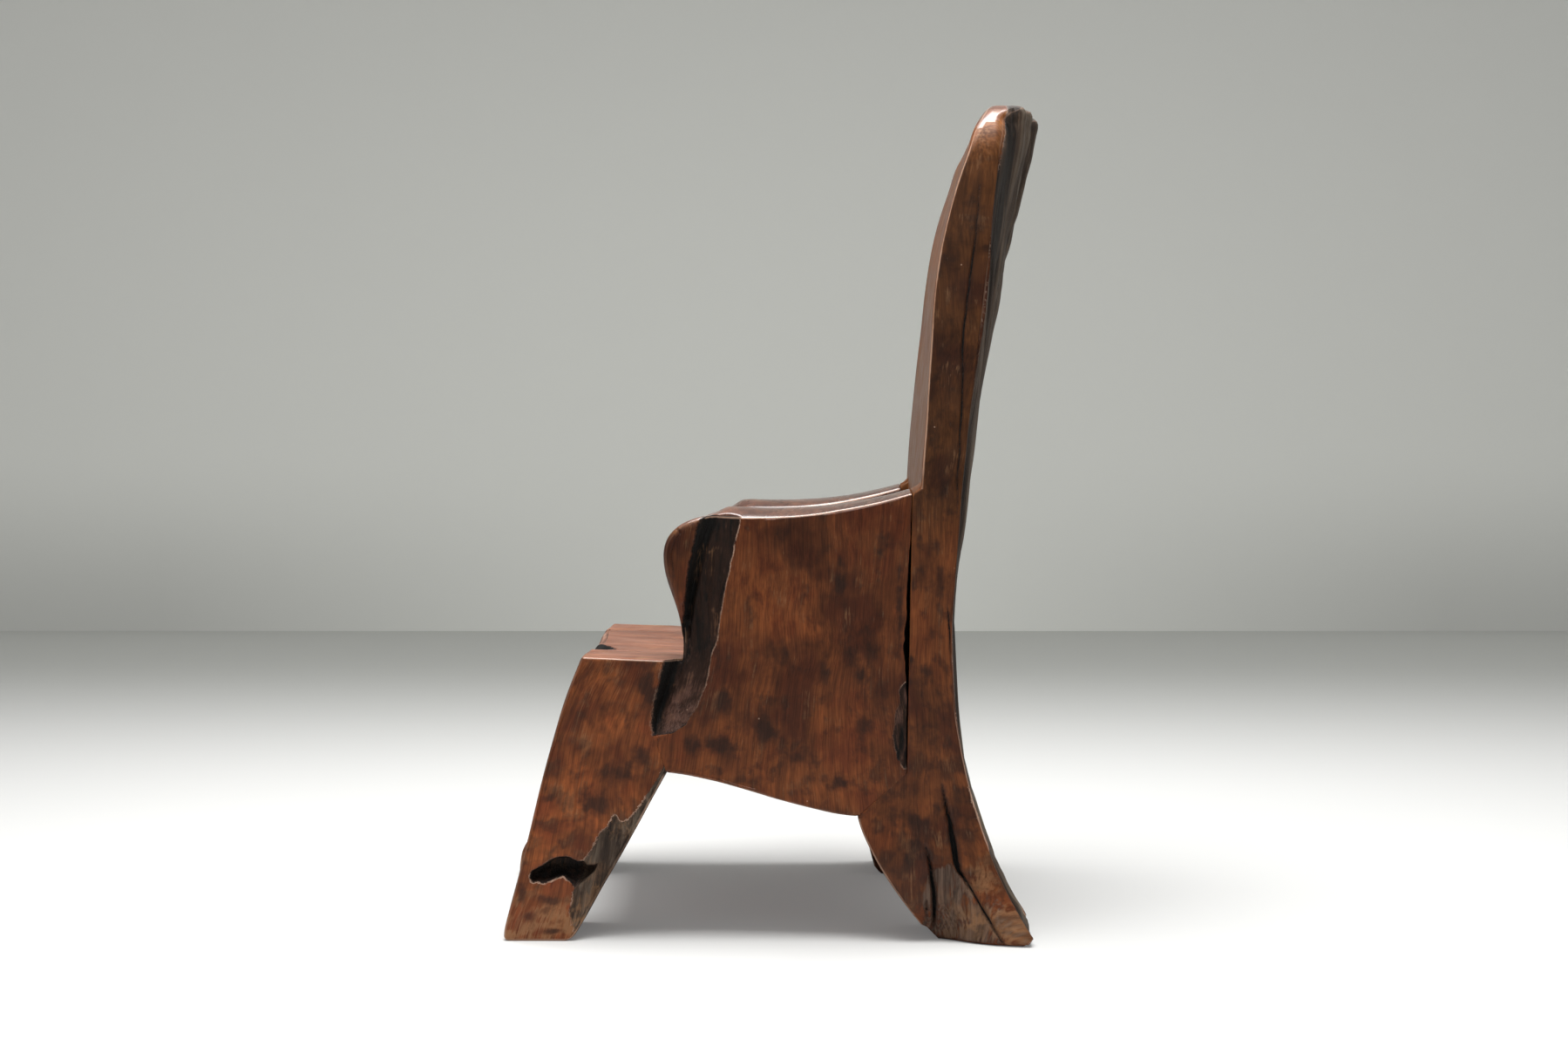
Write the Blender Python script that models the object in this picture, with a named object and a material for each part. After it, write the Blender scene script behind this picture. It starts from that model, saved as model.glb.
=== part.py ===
"""A high-backed armchair of heavy hewn timbers, joined with blind pegs.

Metres, +Z up. The chair faces -Y and its own left side is +X. The origin is on the floor, below the
middle of the chair's box. Outlines of the side timbers are drawn in the YZ plane and carried across X.
"""
import math

import bmesh
import bpy
from mathutils import Matrix, Vector, geometry

# Gaps between timbers, and between a peg and its hole
JOINT_GAP = 0.0003
PEG_CLEARANCE = 0.0003

# Sides: from outside to outside at arm height, and how far each outer face leans out at the floor
SIDE_SPREAD = 0.640
FOOT_FLARE = 0.012
PANEL_THICKNESS = 0.100
LEG_THICKNESS = 0.128
EDGE_ROUND = 0.003

# Seat
SEAT_HEIGHT = 0.392
SEAT_FRONT_Y = -0.253
SEAT_THICKNESS = 0.110
SEAT_TILT = 0.040
SEAT_LIP = 0.014
CREVICE_WIDTH = 0.075
CREVICE_REACH = 0.034

# Front legs: toe of each, length of the foot, bow of the front line, and where the leg meets the panel
LEFT_TOE_Y = -0.365
RIGHT_TOE_Y = -0.408
FRONT_FOOT_LENGTH = 0.100
TOE_ROUND = 0.012
LEG_BOW = 0.008
LEG_BOW_POWER = 1.9
LEG_TOP_Y = -0.114
LEG_SEAM_Y = -0.150
LEG_SEAM_Z = 0.275

# Arch cut in each side between the legs
ARCH_FRONT_Y = -0.136
ARCH_FRONT_Z = 0.233
ARCH_REAR_Y = 0.128
ARCH_REAR_Z = 0.173

# Arms
ARM_FRONT_Z = 0.586
ARM_REAR_Z = 0.618
ARM_TOP_Y = -0.070
ARM_NOSE_Y = -0.138
ARM_NOSE_DROP = 0.054
ARM_NOSE_Z = ARM_FRONT_Z - ARM_NOSE_DROP
ARM_NECK = 0.006
ARM_CROWN = 0.014
ARM_CROWN_REAR = 0.6

# Joint between the sides and the back: the knee carries the panel's lower corner
KNEE_TOP_Y = 0.187
KNEE_TOP_Z = 0.233
SEAM_LEAN = 0.0406
CHECK_WIDTH = 0.005

# Back, with the rear legs on it
BACK_HEIGHT = 1.166
BACK_TOP_WIDTH = 0.540
BACK_EDGE = 0.066
BACK_LEDGE = 0.012
BACK_LEAN = 0.118
FRONT_LEAN = 0.068
FRONT_BEND_Z = 0.870
FRONT_BEND_RADIUS = 0.720
BACK_HOLLOW = 0.010
WAIST_Z = 0.420
WAIST_BULGE = 0.012
CREST_BULGE = 0.064
BULGE_POWER = 2.2
SHOULDER_HEIGHT = 0.085
SHOULDER_WIDTH = 0.095
LEFT_REAR_TOE_Y = 0.232
RIGHT_REAR_TOE_Y = 0.165
HEEL_Y = 0.378
HEEL_POWER = 2.4
REAR_SPLAY = 0.022
REAR_ARCH_WIDTH = 0.400
REAR_ARCH_HEIGHT = 0.250
FLUTE_DEPTH = 0.004
FLUTE_COUNT = 6

# Natural fold of the trunk in each panel: top, foot, width and depth
LEFT_FOLD = (-0.082, -0.142, 0.052, 0.032)
RIGHT_FOLD = (0.010, -0.030, 0.060, 0.018)
FOLD_FOOT_Z = 0.284

# Unworked bark side of the left front leg, and the hollow across its foot
BARK_WIDTH = 0.046
BARK_DEPTH = 0.020
HOLLOW_Y = -0.280
HOLLOW_Z = 0.092
HOLLOW_LENGTH = 0.086
HOLLOW_HEIGHT = 0.027
HOLLOW_DEPTH = 0.024

# Blind pegs
PEG_DIAMETER = 0.026
PEG_LENGTH = 0.088
PEG_CHAMFER = 0.002

MARGIN = 0.012

# Top of the arms where they meet the back
LEDGE_Z = ARM_REAR_Z + ARM_CROWN * ARM_CROWN_REAR


def seat_z(y):
    """Height of the seat's top, which falls a little to the rear."""
    return SEAT_HEIGHT - (y - SEAT_FRONT_Y) * SEAT_TILT


def outer_x(z):
    """Outer face of the sides, leaning out towards the floor."""
    return SIDE_SPREAD / 2 + FOOT_FLARE * (1 - z / ARM_FRONT_Z)


def seam_y(z):
    """Front of the back timber where the panels and the seat butt against it."""
    return KNEE_TOP_Y + (z - KNEE_TOP_Z) * SEAM_LEAN


def leg_seam_y(z):
    """Rear face of the front legs where the panels and the seat's shoulders butt against it."""
    top = seat_z(LEG_TOP_Y)
    return LEG_SEAM_Y + (LEG_TOP_Y - LEG_SEAM_Y) * (z - LEG_SEAM_Z) / (top - LEG_SEAM_Z)


def front_y(z, toe=LEFT_TOE_Y):
    """Front line of a leg, bowed a little forwards between its toe and the seat's front edge."""
    share = min(1.0, max(0.0, z / SEAT_HEIGHT))
    return toe + (SEAT_FRONT_Y - toe) * share - LEG_BOW * math.sin(math.pi * share ** LEG_BOW_POWER)


def seat_meets(face, drop):
    """Where the seat, a little way down its edge, meets a sloping face given by its own y for each z."""
    y = face(SEAT_HEIGHT - drop)
    for _ in range(6):
        y = face(seat_z(y) - drop)
    return y


def levels(start, stop, count):
    """Evenly spaced heights, without the last."""
    return [start + (stop - start) * i / count for i in range(count)]


def cubic(start, handle_a, handle_b, end, steps):
    """Points of one curve, without its end."""
    knots = [Vector((p[0], p[1], 0)) for p in (start, handle_a, handle_b, end)]
    return [(p.x, p.y) for p in geometry.interpolate_bezier(*knots, steps + 1)[:-1]]


def fillet(before, corner, after, radius, steps=4):
    """The arc that rounds one corner."""
    corner = Vector(corner)
    to_a = (Vector(before) - corner).normalized()
    to_b = (Vector(after) - corner).normalized()
    half = to_a.angle(to_b) / 2
    centre = corner + (to_a + to_b).normalized() * radius / math.sin(half)
    start = corner + to_a * radius / math.tan(half) - centre
    end = corner + to_b * radius / math.tan(half) - centre
    turn = start.angle_signed(end)
    return [tuple(centre + Matrix.Rotation(-turn * i / steps, 2) @ start) for i in range(steps + 1)]


def material(name, colour, roughness):
    """A plain wood for one sub-part."""
    mat = bpy.data.materials.new(name)
    mat.use_nodes = True
    shader = mat.node_tree.nodes["Principled BSDF"]
    shader.inputs["Base Color"].default_value = (*colour, 1)
    shader.inputs["Roughness"].default_value = roughness
    return mat


def new_object(name, bm):
    """Close a bmesh into a linked object."""
    bmesh.ops.recalc_face_normals(bm, faces=bm.faces)
    mesh = bpy.data.meshes.new(name)
    bm.to_mesh(mesh)
    bm.free()
    obj = bpy.data.objects.new(name, mesh)
    bpy.context.collection.objects.link(obj)
    return obj


def loft(name, loops):
    """A solid skinned over closed loops of equal count, with both ends capped."""
    bm = bmesh.new()
    rings = [[bm.verts.new(p) for p in loop] for loop in loops]
    count = len(rings[0])
    for ring, following in zip(rings, rings[1:]):
        for i in range(count):
            j = (i + 1) % count
            bm.faces.new((ring[i], ring[j], following[j], following[i]))
    bm.faces.new(rings[0])
    bm.faces.new(rings[-1])
    return new_object(name, bm)


def finish(obj, colour, roughness):
    """Give a sub-part its material and soft shading over its sharp edges."""
    obj.data.materials.append(material(obj.name + "_wood", colour, roughness))
    obj.data.shade_smooth()
    obj.data.set_sharp_from_angle(angle=math.radians(32))
    return obj


def cut(target, cutter):
    """Take a cutter's volume out of a timber."""
    cutter.hide_render = True
    cutter.display_type = "WIRE"
    modifier = target.modifiers.new(cutter.name, "BOOLEAN")
    modifier.operation = "DIFFERENCE"
    modifier.solver = "EXACT"
    modifier.object = cutter


def shrink(outline, amount):
    """An outline drawn in by a small amount along its own normals."""
    count = len(outline)
    area = sum(outline[i - 1][0] * outline[i][1] - outline[i][0] * outline[i - 1][1] for i in range(count))
    sign = 1 if area > 0 else -1
    drawn = []
    for i, point in enumerate(outline):
        along = Vector(outline[(i + 1) % count]) - Vector(outline[i - 1])
        normal = Vector((-along.y, along.x)).normalized() * sign
        drawn.append((point[0] + normal.x * amount, point[1] + normal.y * amount))
    return drawn


def across(outline, hand, inner_x, share):
    """An outline placed between the outer face, share 0, and the inner face, share 1."""
    return [(hand * (outer_x(z) + (inner_x - outer_x(z)) * share), y, z) for y, z in outline]


def front_leg(name, hand, toe):
    """A front leg: a block with its foot, its top flush with the seat."""
    heel = toe + FRONT_FOOT_LENGTH
    corners = {
        "heel": (heel, 0.0),
        "toe": (toe, 0.0),
        "seat": (SEAT_FRONT_Y, SEAT_HEIGHT),
        "top": (LEG_TOP_Y, seat_z(LEG_TOP_Y)),
        "seam": (LEG_SEAM_Y, LEG_SEAM_Z),
        "arch": (ARCH_FRONT_Y, ARCH_FRONT_Z),
    }
    bow = [(front_y(z, toe), z) for z in levels(0.0, SEAT_HEIGHT, 8)[1:]]
    outline = fillet(corners["arch"], corners["heel"], corners["toe"], EDGE_ROUND * 2)
    outline += fillet(corners["heel"], corners["toe"], bow[0], TOE_ROUND) + bow
    outline += fillet(bow[-1], corners["seat"], corners["top"], SEAT_LIP)
    outline += [corners["top"], corners["seam"], corners["arch"]]
    inner_x = SIDE_SPREAD / 2 - LEG_THICKNESS
    edge = EDGE_ROUND / LEG_THICKNESS
    flat = [(y, max(z, 0.0)) for y, z in shrink(outline, EDGE_ROUND)]
    layers = [(flat, 0.0), (outline, edge), (outline, 1 - edge), (flat, 1.0)]
    return loft(name, [across(line, hand, inner_x, share) for line, share in layers])


def panel_outline(crown, opening):
    """A side panel's outline with its arm raised by the crown and its check to the back opened."""
    root = (LEG_TOP_Y + JOINT_GAP, seat_z(LEG_TOP_Y))
    nose = (ARM_NOSE_Y, ARM_NOSE_Z)
    start = (ARM_TOP_Y, ARM_FRONT_Z)
    end = (seam_y(ARM_REAR_Z) - JOINT_GAP, ARM_REAR_Z)
    rise = (ARM_NOSE_Z - root[1]) / 3
    line = cubic(root, (root[0] + ARM_NECK, root[1] + rise * 1.5), (nose[0], nose[1] - rise), nose, 6)
    lift = (ARM_FRONT_Z - ARM_NOSE_Z) * 0.6
    reach = (ARM_TOP_Y - ARM_NOSE_Y) * 0.6
    bend = cubic(nose, (nose[0], nose[1] + lift), (start[0] - reach, start[1]), start, 6)
    line += [(y, z + crown * (i / len(bend)) ** 2) for i, (y, z) in enumerate(bend)]
    run = (end[0] - start[0]) / 3
    top = cubic(start, (start[0] + run, start[1] - 0.006), (end[0] - run, end[1] - 0.025), end, 8)
    line += [(y, z + crown * (1 - (1 - ARM_CROWN_REAR) * i / len(top))) for i, (y, z) in enumerate(top)]
    line.append((seam_y(ARM_REAR_Z) - JOINT_GAP, ARM_REAR_Z + crown * ARM_CROWN_REAR))
    steps = 8
    for i in range(1, steps):
        z = ARM_REAR_Z + (KNEE_TOP_Z - ARM_REAR_Z) * i / steps
        line.append((seam_y(z) - JOINT_GAP - opening * math.sin(math.pi * i / steps), z))
    line.append((KNEE_TOP_Y - JOINT_GAP, KNEE_TOP_Z + JOINT_GAP))
    rear = (ARCH_REAR_Y - JOINT_GAP, ARCH_REAR_Z + JOINT_GAP)
    front = (ARCH_FRONT_Y + JOINT_GAP, ARCH_FRONT_Z)
    third = (rear[0] - front[0]) / 3
    line += cubic(rear, (rear[0] - third, rear[1] + 0.006), (front[0] + third, front[1] - 0.008), front, 10)
    line += [front, (LEG_SEAM_Y + JOINT_GAP, LEG_SEAM_Z)]
    return line


def side_panel(name, hand):
    """A side panel with its domed arm."""
    inner_x = SIDE_SPREAD / 2 - PANEL_THICKNESS
    loops = []
    edge = EDGE_ROUND / PANEL_THICKNESS
    for share in (0.0, edge, 0.15, 0.30, 0.50, 0.70, 0.85, 1 - edge, 1.0):
        crown = ARM_CROWN * (1 - abs(2 * share - 1) ** 2.4)
        line = panel_outline(crown, CHECK_WIDTH * max(0.0, 1 - share / 0.25))
        if share in (0.0, 1.0):
            line = shrink(line, EDGE_ROUND)
        loops.append(across(line, hand, inner_x, share))
    return loft(name, loops)


def fold_cutter(name, hand, fold):
    """The valley of the trunk's fold, deep at its front and shallow at its rear."""
    top_y, foot_y, width, depth = fold
    top_z = ARM_REAR_Z + ARM_CROWN + MARGIN
    loops = []
    for share in (0.0, 0.3, 0.55, 0.75, 0.9, 1.0):
        z = top_z + (FOLD_FOOT_Z - top_z) * share
        deep = top_y + (foot_y - top_y) * share
        close = math.sqrt(max(0.0, 1 - max(0.0, share - 0.75) ** 2 / 0.0625))
        face = outer_x(z)
        spread = width * (0.1 + 0.9 * close)
        bottom = face - depth * close + MARGIN * (1 - close)
        section = (
            (face + MARGIN, deep - spread * 0.18),
            (bottom, deep),
            (face + (bottom - face) * 0.55, deep + spread * 0.5),
            (face + MARGIN, deep + spread),
        )
        loops.append([(hand * x, y, z) for x, y in section])
    return loft(name, loops)


def bark_cutter(name, hand, toe):
    """The sloping unworked strip down the rear of a front leg."""
    heel = toe + FRONT_FOOT_LENGTH
    loops = []
    for share in (-0.04, 0.06, 0.2, 0.4, 0.65, 0.9, 1.04):
        z = ARCH_FRONT_Z * share
        rear = heel + (ARCH_FRONT_Y - heel) * share
        swell = math.sqrt(max(0.0, math.sin(math.pi * min(max(share, 0.0), 1.0))))
        width = BARK_WIDTH * (0.1 + 0.9 * swell)
        slope = BARK_DEPTH / BARK_WIDTH
        face = outer_x(z)
        section = (
            (face + MARGIN, rear - width - MARGIN / slope),
            (face - (width + MARGIN) * slope, rear + MARGIN),
            (face + MARGIN, rear + MARGIN),
        )
        loops.append([(hand * x, y, z) for x, y in section])
    return loft(name, loops)


def hollow_cutter(name, hand):
    """The scooped hollow across the foot, bent like a brow."""
    loops = []
    for inward, scale in ((-MARGIN, 1.06), (0.0, 1.0), (0.6, 0.9), (1.0, 0.55)):
        loop = []
        for i in range(16):
            turn = 2 * math.pi * i / 16
            along = math.cos(turn) * scale
            y = HOLLOW_Y + HOLLOW_LENGTH / 2 * along
            z = HOLLOW_Z + HOLLOW_HEIGHT / 2 * (math.sin(turn) * scale + 0.8 - 1.6 * along * along)
            depth = HOLLOW_DEPTH * inward if inward > 0 else inward
            loop.append((hand * (outer_x(z) - depth), y, z))
        loops.append(loop)
    return loft(name, loops)


def seat_slab(name):
    """The seat: a thick slab notched round the front legs, its front in line with them."""
    front_half = SIDE_SPREAD / 2 - LEG_THICKNESS - JOINT_GAP
    rear_half = SIDE_SPREAD / 2 - PANEL_THICKNESS - JOINT_GAP
    loops = []
    for depth, draw in ((0.0, 1.0), (0.3, 0.29), (1.0, 0.0), (6.4, 0.0), (7.4, 0.3), (7.857, 1.0)):
        drop = min(SEAT_LIP * depth, SEAT_THICKNESS) if depth < 7.5 else SEAT_THICKNESS
        front = front_y(SEAT_HEIGHT - drop) + SEAT_LIP * draw
        notch = seat_meets(leg_seam_y, drop) + JOINT_GAP
        rear = seat_meets(seam_y, drop) - JOINT_GAP
        half = [(front_half * x, front) for x in (0.0, 0.5, 1.0)]
        half += [(front_half, notch), (rear_half, notch), (rear_half, rear), (0.0, rear)]
        mirrored = [(-x, y) for x, y in half[-2:0:-1]]
        loops.append([(x, y, seat_z(y) - drop) for x, y in half + mirrored])
    return loft(name, loops)


def crevice_cutter(name):
    """The open crevice in the seat's front edge beside the left leg."""
    edge = SIDE_SPREAD / 2 - LEG_THICKNESS
    loops = []
    for z, grow in ((SEAT_HEIGHT + MARGIN, 1.0), (SEAT_HEIGHT - SEAT_THICKNESS * 0.7, 0.35)):
        front = front_y(z) - MARGIN
        tip = front_y(SEAT_HEIGHT) + CREVICE_REACH * grow
        loop = [(edge - 0.004, front, z), (edge - 0.004 - CREVICE_WIDTH * grow, front, z)]
        loop.append((edge - 0.004 - CREVICE_WIDTH * 0.55 * grow, tip - CREVICE_REACH * 0.3 * grow, z))
        loop.append((edge - 0.004 - CREVICE_WIDTH * 0.2 * grow, tip, z))
        loops.append(loop)
    return loft(name, loops)


def leg_front_y(z, toe):
    """Front line of a rear leg, sweeping back from the knee to the toe."""
    fall = 1 - z / ARCH_REAR_Z
    return ARCH_REAR_Y + (toe - ARCH_REAR_Y) * fall ** 1.35


def back_front_y(z, x, half):
    """Front of the back timber; between the arms it eases back from the seat, behind them it is flat."""
    side = x / half
    if z < ARCH_REAR_Z:
        return leg_front_y(z, LEFT_REAR_TOE_Y if x > 0 else RIGHT_REAR_TOE_Y)
    if z < KNEE_TOP_Z:
        return ARCH_REAR_Y + (KNEE_TOP_Y - ARCH_REAR_Y) * (z - ARCH_REAR_Z) / (KNEE_TOP_Z - ARCH_REAR_Z)
    if z <= LEDGE_Z:
        ease = min(1.0, max(0.0, (z - SEAT_HEIGHT) / (LEDGE_Z - SEAT_HEIGHT)))
        inside = abs(x) < SIDE_SPREAD / 2 - PANEL_THICKNESS - EDGE_ROUND
        return seam_y(z) + (BACK_LEDGE * ease if inside else 0.0)
    y = seam_y(LEDGE_Z) + BACK_LEDGE + FRONT_LEAN * (z - LEDGE_Z)
    above = max(0.0, z - FRONT_BEND_Z)
    y += FRONT_BEND_RADIUS - math.sqrt(FRONT_BEND_RADIUS ** 2 - above ** 2)
    deep = min(1.0, (z - LEDGE_Z) / (FRONT_BEND_Z - LEDGE_Z), (BACK_HEIGHT - z) / (SHOULDER_HEIGHT * 2))
    return y + BACK_HOLLOW * deep * (1 - side * side)


def back_rear_y(z, side):
    """Rear of the back timber: the round of the trunk over a planed edge, with shallow flutes."""
    waist = seam_y(WAIST_Z) + BACK_EDGE
    if z < WAIST_Z:
        y = waist + (HEEL_Y - waist) * (1 - z / WAIST_Z) ** HEEL_POWER
        bulge = WAIST_BULGE * z / WAIST_Z
    else:
        y = waist + BACK_LEAN * (math.hypot(z - WAIST_Z, 0.1) - 0.1)
        rise = ((z - WAIST_Z) / (BACK_HEIGHT - WAIST_Z)) ** BULGE_POWER
        bulge = WAIST_BULGE + (CREST_BULGE - WAIST_BULGE) * rise
    flute = FLUTE_DEPTH * (1 - math.cos(math.pi * FLUTE_COUNT * (side + 1)))
    return y + (bulge + flute * bulge / CREST_BULGE) * (1 - abs(side) ** 2.2)


def back_half_width(z):
    """Half the width of the back at one height, splayed at the feet and rounded at the shoulders."""
    half = outer_x(z)
    if z < KNEE_TOP_Z:
        half += REAR_SPLAY * (1 - z / KNEE_TOP_Z) ** 2
    shoulder = BACK_HEIGHT - SHOULDER_HEIGHT
    if z > LEDGE_Z:
        narrow = min(1.0, (z - LEDGE_Z) / (shoulder - LEDGE_Z))
        half = outer_x(LEDGE_Z) + (BACK_TOP_WIDTH / 2 - outer_x(LEDGE_Z)) * narrow
    if z > shoulder:
        half -= SHOULDER_WIDTH * (1 - math.sqrt(max(0.0, 1 - ((z - shoulder) / SHOULDER_HEIGHT) ** 2)))
    return half


def back_section(z, inset):
    """One level of the back timber, seen from above, drawn in by the inset."""
    half = back_half_width(z) - inset
    chamfer = EDGE_ROUND * 1.3
    arm = SIDE_SPREAD / 2 - PANEL_THICKNESS
    narrow = min(1.0, half / outer_x(LEDGE_Z))
    spots = [half, half - chamfer]
    spots += [x * narrow for x in (arm - JOINT_GAP, arm - 2 * EDGE_ROUND, arm * 0.5)]
    spots += [0.0] + [-x for x in reversed(spots)]
    loop = []
    for x in spots:
        corner = chamfer if abs(x) == half else 0.0
        loop.append((x, back_front_y(z, x, half) + inset + corner, z))
    count = 24
    for i in range(count + 1):
        s = -1 + 2 * i / count
        end = abs(s) == 1.0
        loop.append((half * s, back_rear_y(z, s) - inset - (chamfer if end else 0.0), z))
    return loop


def back_timber(name):
    """The tall back with both rear legs, lofted level by level."""
    shoulder = BACK_HEIGHT - SHOULDER_HEIGHT
    heights = [0.006] + levels(0.02, ARCH_REAR_Z, 4) + levels(ARCH_REAR_Z, KNEE_TOP_Z, 1)
    heights += levels(KNEE_TOP_Z, LEDGE_Z, 5) + [LEDGE_Z, LEDGE_Z + EDGE_ROUND]
    heights += levels(LEDGE_Z + 0.05, FRONT_BEND_Z, 3) + levels(FRONT_BEND_Z, shoulder, 5)
    heights += [shoulder + SHOULDER_HEIGHT * math.sin(math.pi / 2 * i / 7) for i in range(7)]
    loops = [back_section(0.0, EDGE_ROUND)]
    loops += [back_section(z, 0.0) for z in heights]
    loops.append(back_section(BACK_HEIGHT - 0.004, 0.010))
    loops.append(back_section(BACK_HEIGHT, 0.020))
    return loft(name, loops)


def rear_arch_cutter(name):
    """The arch that parts the two rear legs."""
    half = REAR_ARCH_WIDTH / 2
    spring = REAR_ARCH_HEIGHT * 0.45
    outline = [(-half, -MARGIN), (half, -MARGIN)]
    for i in range(13):
        turn = math.pi * i / 12
        outline.append((half * math.cos(turn), spring + (REAR_ARCH_HEIGHT - spring) * math.sin(turn)))
    reach = (ARCH_REAR_Y - MARGIN * 4, HEEL_Y + MARGIN * 4)
    return loft(name, [[(x, y, z) for x, z in outline] for y in reach])


def rod(name, centre, axis, diameter, length, chamfer):
    """A round rod along X or Y with chamfered ends."""
    bm = bmesh.new()
    turn = Matrix.Rotation(math.pi / 2, 4, "Y" if axis == "X" else "X")
    place = Matrix.Translation(centre) @ turn
    bmesh.ops.create_cone(
        bm, cap_ends=True, segments=16, radius1=diameter / 2, radius2=diameter / 2, depth=length, matrix=place
    )
    if chamfer:
        rims = [e for e in bm.edges if any(len(f.verts) > 4 for f in e.link_faces)]
        bmesh.ops.bevel(bm, geom=rims, offset=chamfer, segments=1, affect="EDGES")
    return new_object(name, bm)


def peg(name, centre, axis, timbers):
    """A blind peg and the hole for it in both timbers."""
    pin = rod(name, centre, axis, PEG_DIAMETER, PEG_LENGTH, PEG_CHAMFER)
    finish(pin, (0.30, 0.17, 0.08), 0.6)
    hole = rod(
        name + "_hole", centre, axis, PEG_DIAMETER + 2 * PEG_CLEARANCE, PEG_LENGTH + 2 * PEG_CLEARANCE, 0.0
    )
    for timber in timbers:
        cut(timber, hole)


def side_pegs(word, hand, leg, panel, seat, back):
    """All the pegs of one side."""
    middle = hand * (SIDE_SPREAD / 2 - PANEL_THICKNESS * 0.55)
    for place, share in (("lower", 0.22), ("upper", 0.66)):
        z = LEG_SEAM_Z + (seat_z(LEG_TOP_Y) - LEG_SEAM_Z) * share
        peg(f"{word}_leg_peg_{place}", (middle, leg_seam_y(z), z), "Y", (leg, panel))
    for place, share in (("lower", 0.25), ("upper", 0.72)):
        z = KNEE_TOP_Z + (ARM_REAR_Z - KNEE_TOP_Z) * share
        peg(f"{word}_back_peg_{place}", (middle, seam_y(z), z), "Y", (panel, back))
    panel_x = hand * (SIDE_SPREAD / 2 - PANEL_THICKNESS)
    leg_x = hand * (SIDE_SPREAD / 2 - LEG_THICKNESS)
    y = (SEAT_FRONT_Y + LEG_TOP_Y) / 2 - 0.008
    peg(f"{word}_seat_peg_front", (leg_x, y, seat_z(y) - SEAT_THICKNESS / 2), "X", (leg, seat))
    for place, share in (("middle", 0.36), ("rear", 0.72)):
        y = LEG_TOP_Y + (seam_y(SEAT_HEIGHT) - LEG_TOP_Y) * share
        peg(f"{word}_seat_peg_{place}", (panel_x, y, seat_z(y) - SEAT_THICKNESS / 2), "X", (panel, seat))


def build():
    """Clear the scene and make every sub-part."""
    for obj in list(bpy.data.objects):
        bpy.data.objects.remove(obj, do_unlink=True)
    back = finish(back_timber("back"), (0.11, 0.045, 0.020), 0.45)
    cut(back, rear_arch_cutter("rear_arch"))
    seat = finish(seat_slab("seat"), (0.24, 0.10, 0.055), 0.40)
    cut(seat, crevice_cutter("seat_crevice"))
    for word, hand, toe, fold in (("left", 1, LEFT_TOE_Y, LEFT_FOLD), ("right", -1, RIGHT_TOE_Y, RIGHT_FOLD)):
        leg = finish(front_leg(f"{word}_front_leg", hand, toe), (0.13, 0.050, 0.022), 0.45)
        panel = finish(side_panel(f"{word}_side_panel", hand), (0.12, 0.047, 0.020), 0.45)
        cut(panel, fold_cutter(f"{word}_fold", hand, fold))
        cut(leg, bark_cutter(f"{word}_bark", hand, toe))
        if hand > 0:
            cut(leg, hollow_cutter(f"{word}_hollow", hand))
        side_pegs(word, hand, leg, panel, seat, back)


build()
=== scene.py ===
import functools

import bpy
import numpy as np
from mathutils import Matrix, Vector


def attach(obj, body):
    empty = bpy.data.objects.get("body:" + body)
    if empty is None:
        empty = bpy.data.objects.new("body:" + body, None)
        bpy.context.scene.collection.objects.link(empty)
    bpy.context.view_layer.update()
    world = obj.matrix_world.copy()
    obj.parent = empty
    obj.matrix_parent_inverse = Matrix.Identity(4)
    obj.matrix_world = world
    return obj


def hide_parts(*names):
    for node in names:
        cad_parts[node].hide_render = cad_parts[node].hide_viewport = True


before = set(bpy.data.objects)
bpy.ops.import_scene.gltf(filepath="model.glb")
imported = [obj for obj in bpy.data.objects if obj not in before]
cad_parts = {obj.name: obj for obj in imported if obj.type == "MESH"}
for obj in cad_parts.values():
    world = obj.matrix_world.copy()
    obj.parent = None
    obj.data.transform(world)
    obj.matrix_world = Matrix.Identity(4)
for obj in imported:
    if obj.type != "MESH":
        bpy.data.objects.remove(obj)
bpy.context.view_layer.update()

scene = bpy.context.scene
scene.view_settings.view_transform = "Standard"

# The chair's own sizes in metres, as in the frame: it faces -y and its left side is +x
chair = {
    "spread": 0.640, "flare": 0.012, "panel": 0.100, "leg": 0.128, "gap": 0.0001,
    "seatHeight": 0.392, "seatFront": -0.253, "seatTilt": 0.040, "seatThick": 0.110,
    "legTop": -0.114, "legSeam": (-0.150, 0.275), "legBow": 0.008, "leftToe": -0.365, "rightToe": -0.408,
    "archFront": (-0.136, 0.233), "archRear": (0.128, 0.173), "knee": (0.1955, 0.233), "lean": 0.0180,
    "armFront": 0.586, "armRear": 0.618, "crown": 0.014, "crownRear": 0.4,
    "waist": (0.2606, 0.420), "backLean": 0.118, "heel": 0.378,
}
ledgeTop = chair["armRear"] + chair["crown"] * chair["crownRear"]


def ease(low, high, x):
    # 0 at low, 1 at high, smooth between, either way round
    t = np.clip((x - low) / (high - low), 0.0, 1.0)
    return t * t * (3 - 2 * t)


def seatZ(y):
    # the seat's top falls a little to the rear
    return chair["seatHeight"] - (y - chair["seatFront"]) * chair["seatTilt"]


def outerX(z):
    # the outer faces lean out towards the floor
    return chair["spread"] / 2 + chair["flare"] * (1 - z / chair["armFront"])


def seamY(z):
    # the leaning line on which the panels meet the back
    return chair["knee"][0] + (z - chair["knee"][1]) * chair["lean"]


def frontLineY(z, toe):
    # straight from the toe to the seat's front edge, with a bow forwards that is fullest below the seat
    t = np.clip(z / chair["seatHeight"], 0.0, 1.0)
    return toe + (chair["seatFront"] - toe) * t - chair["legBow"] * np.sin(np.pi * t ** 1.9)


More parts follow.
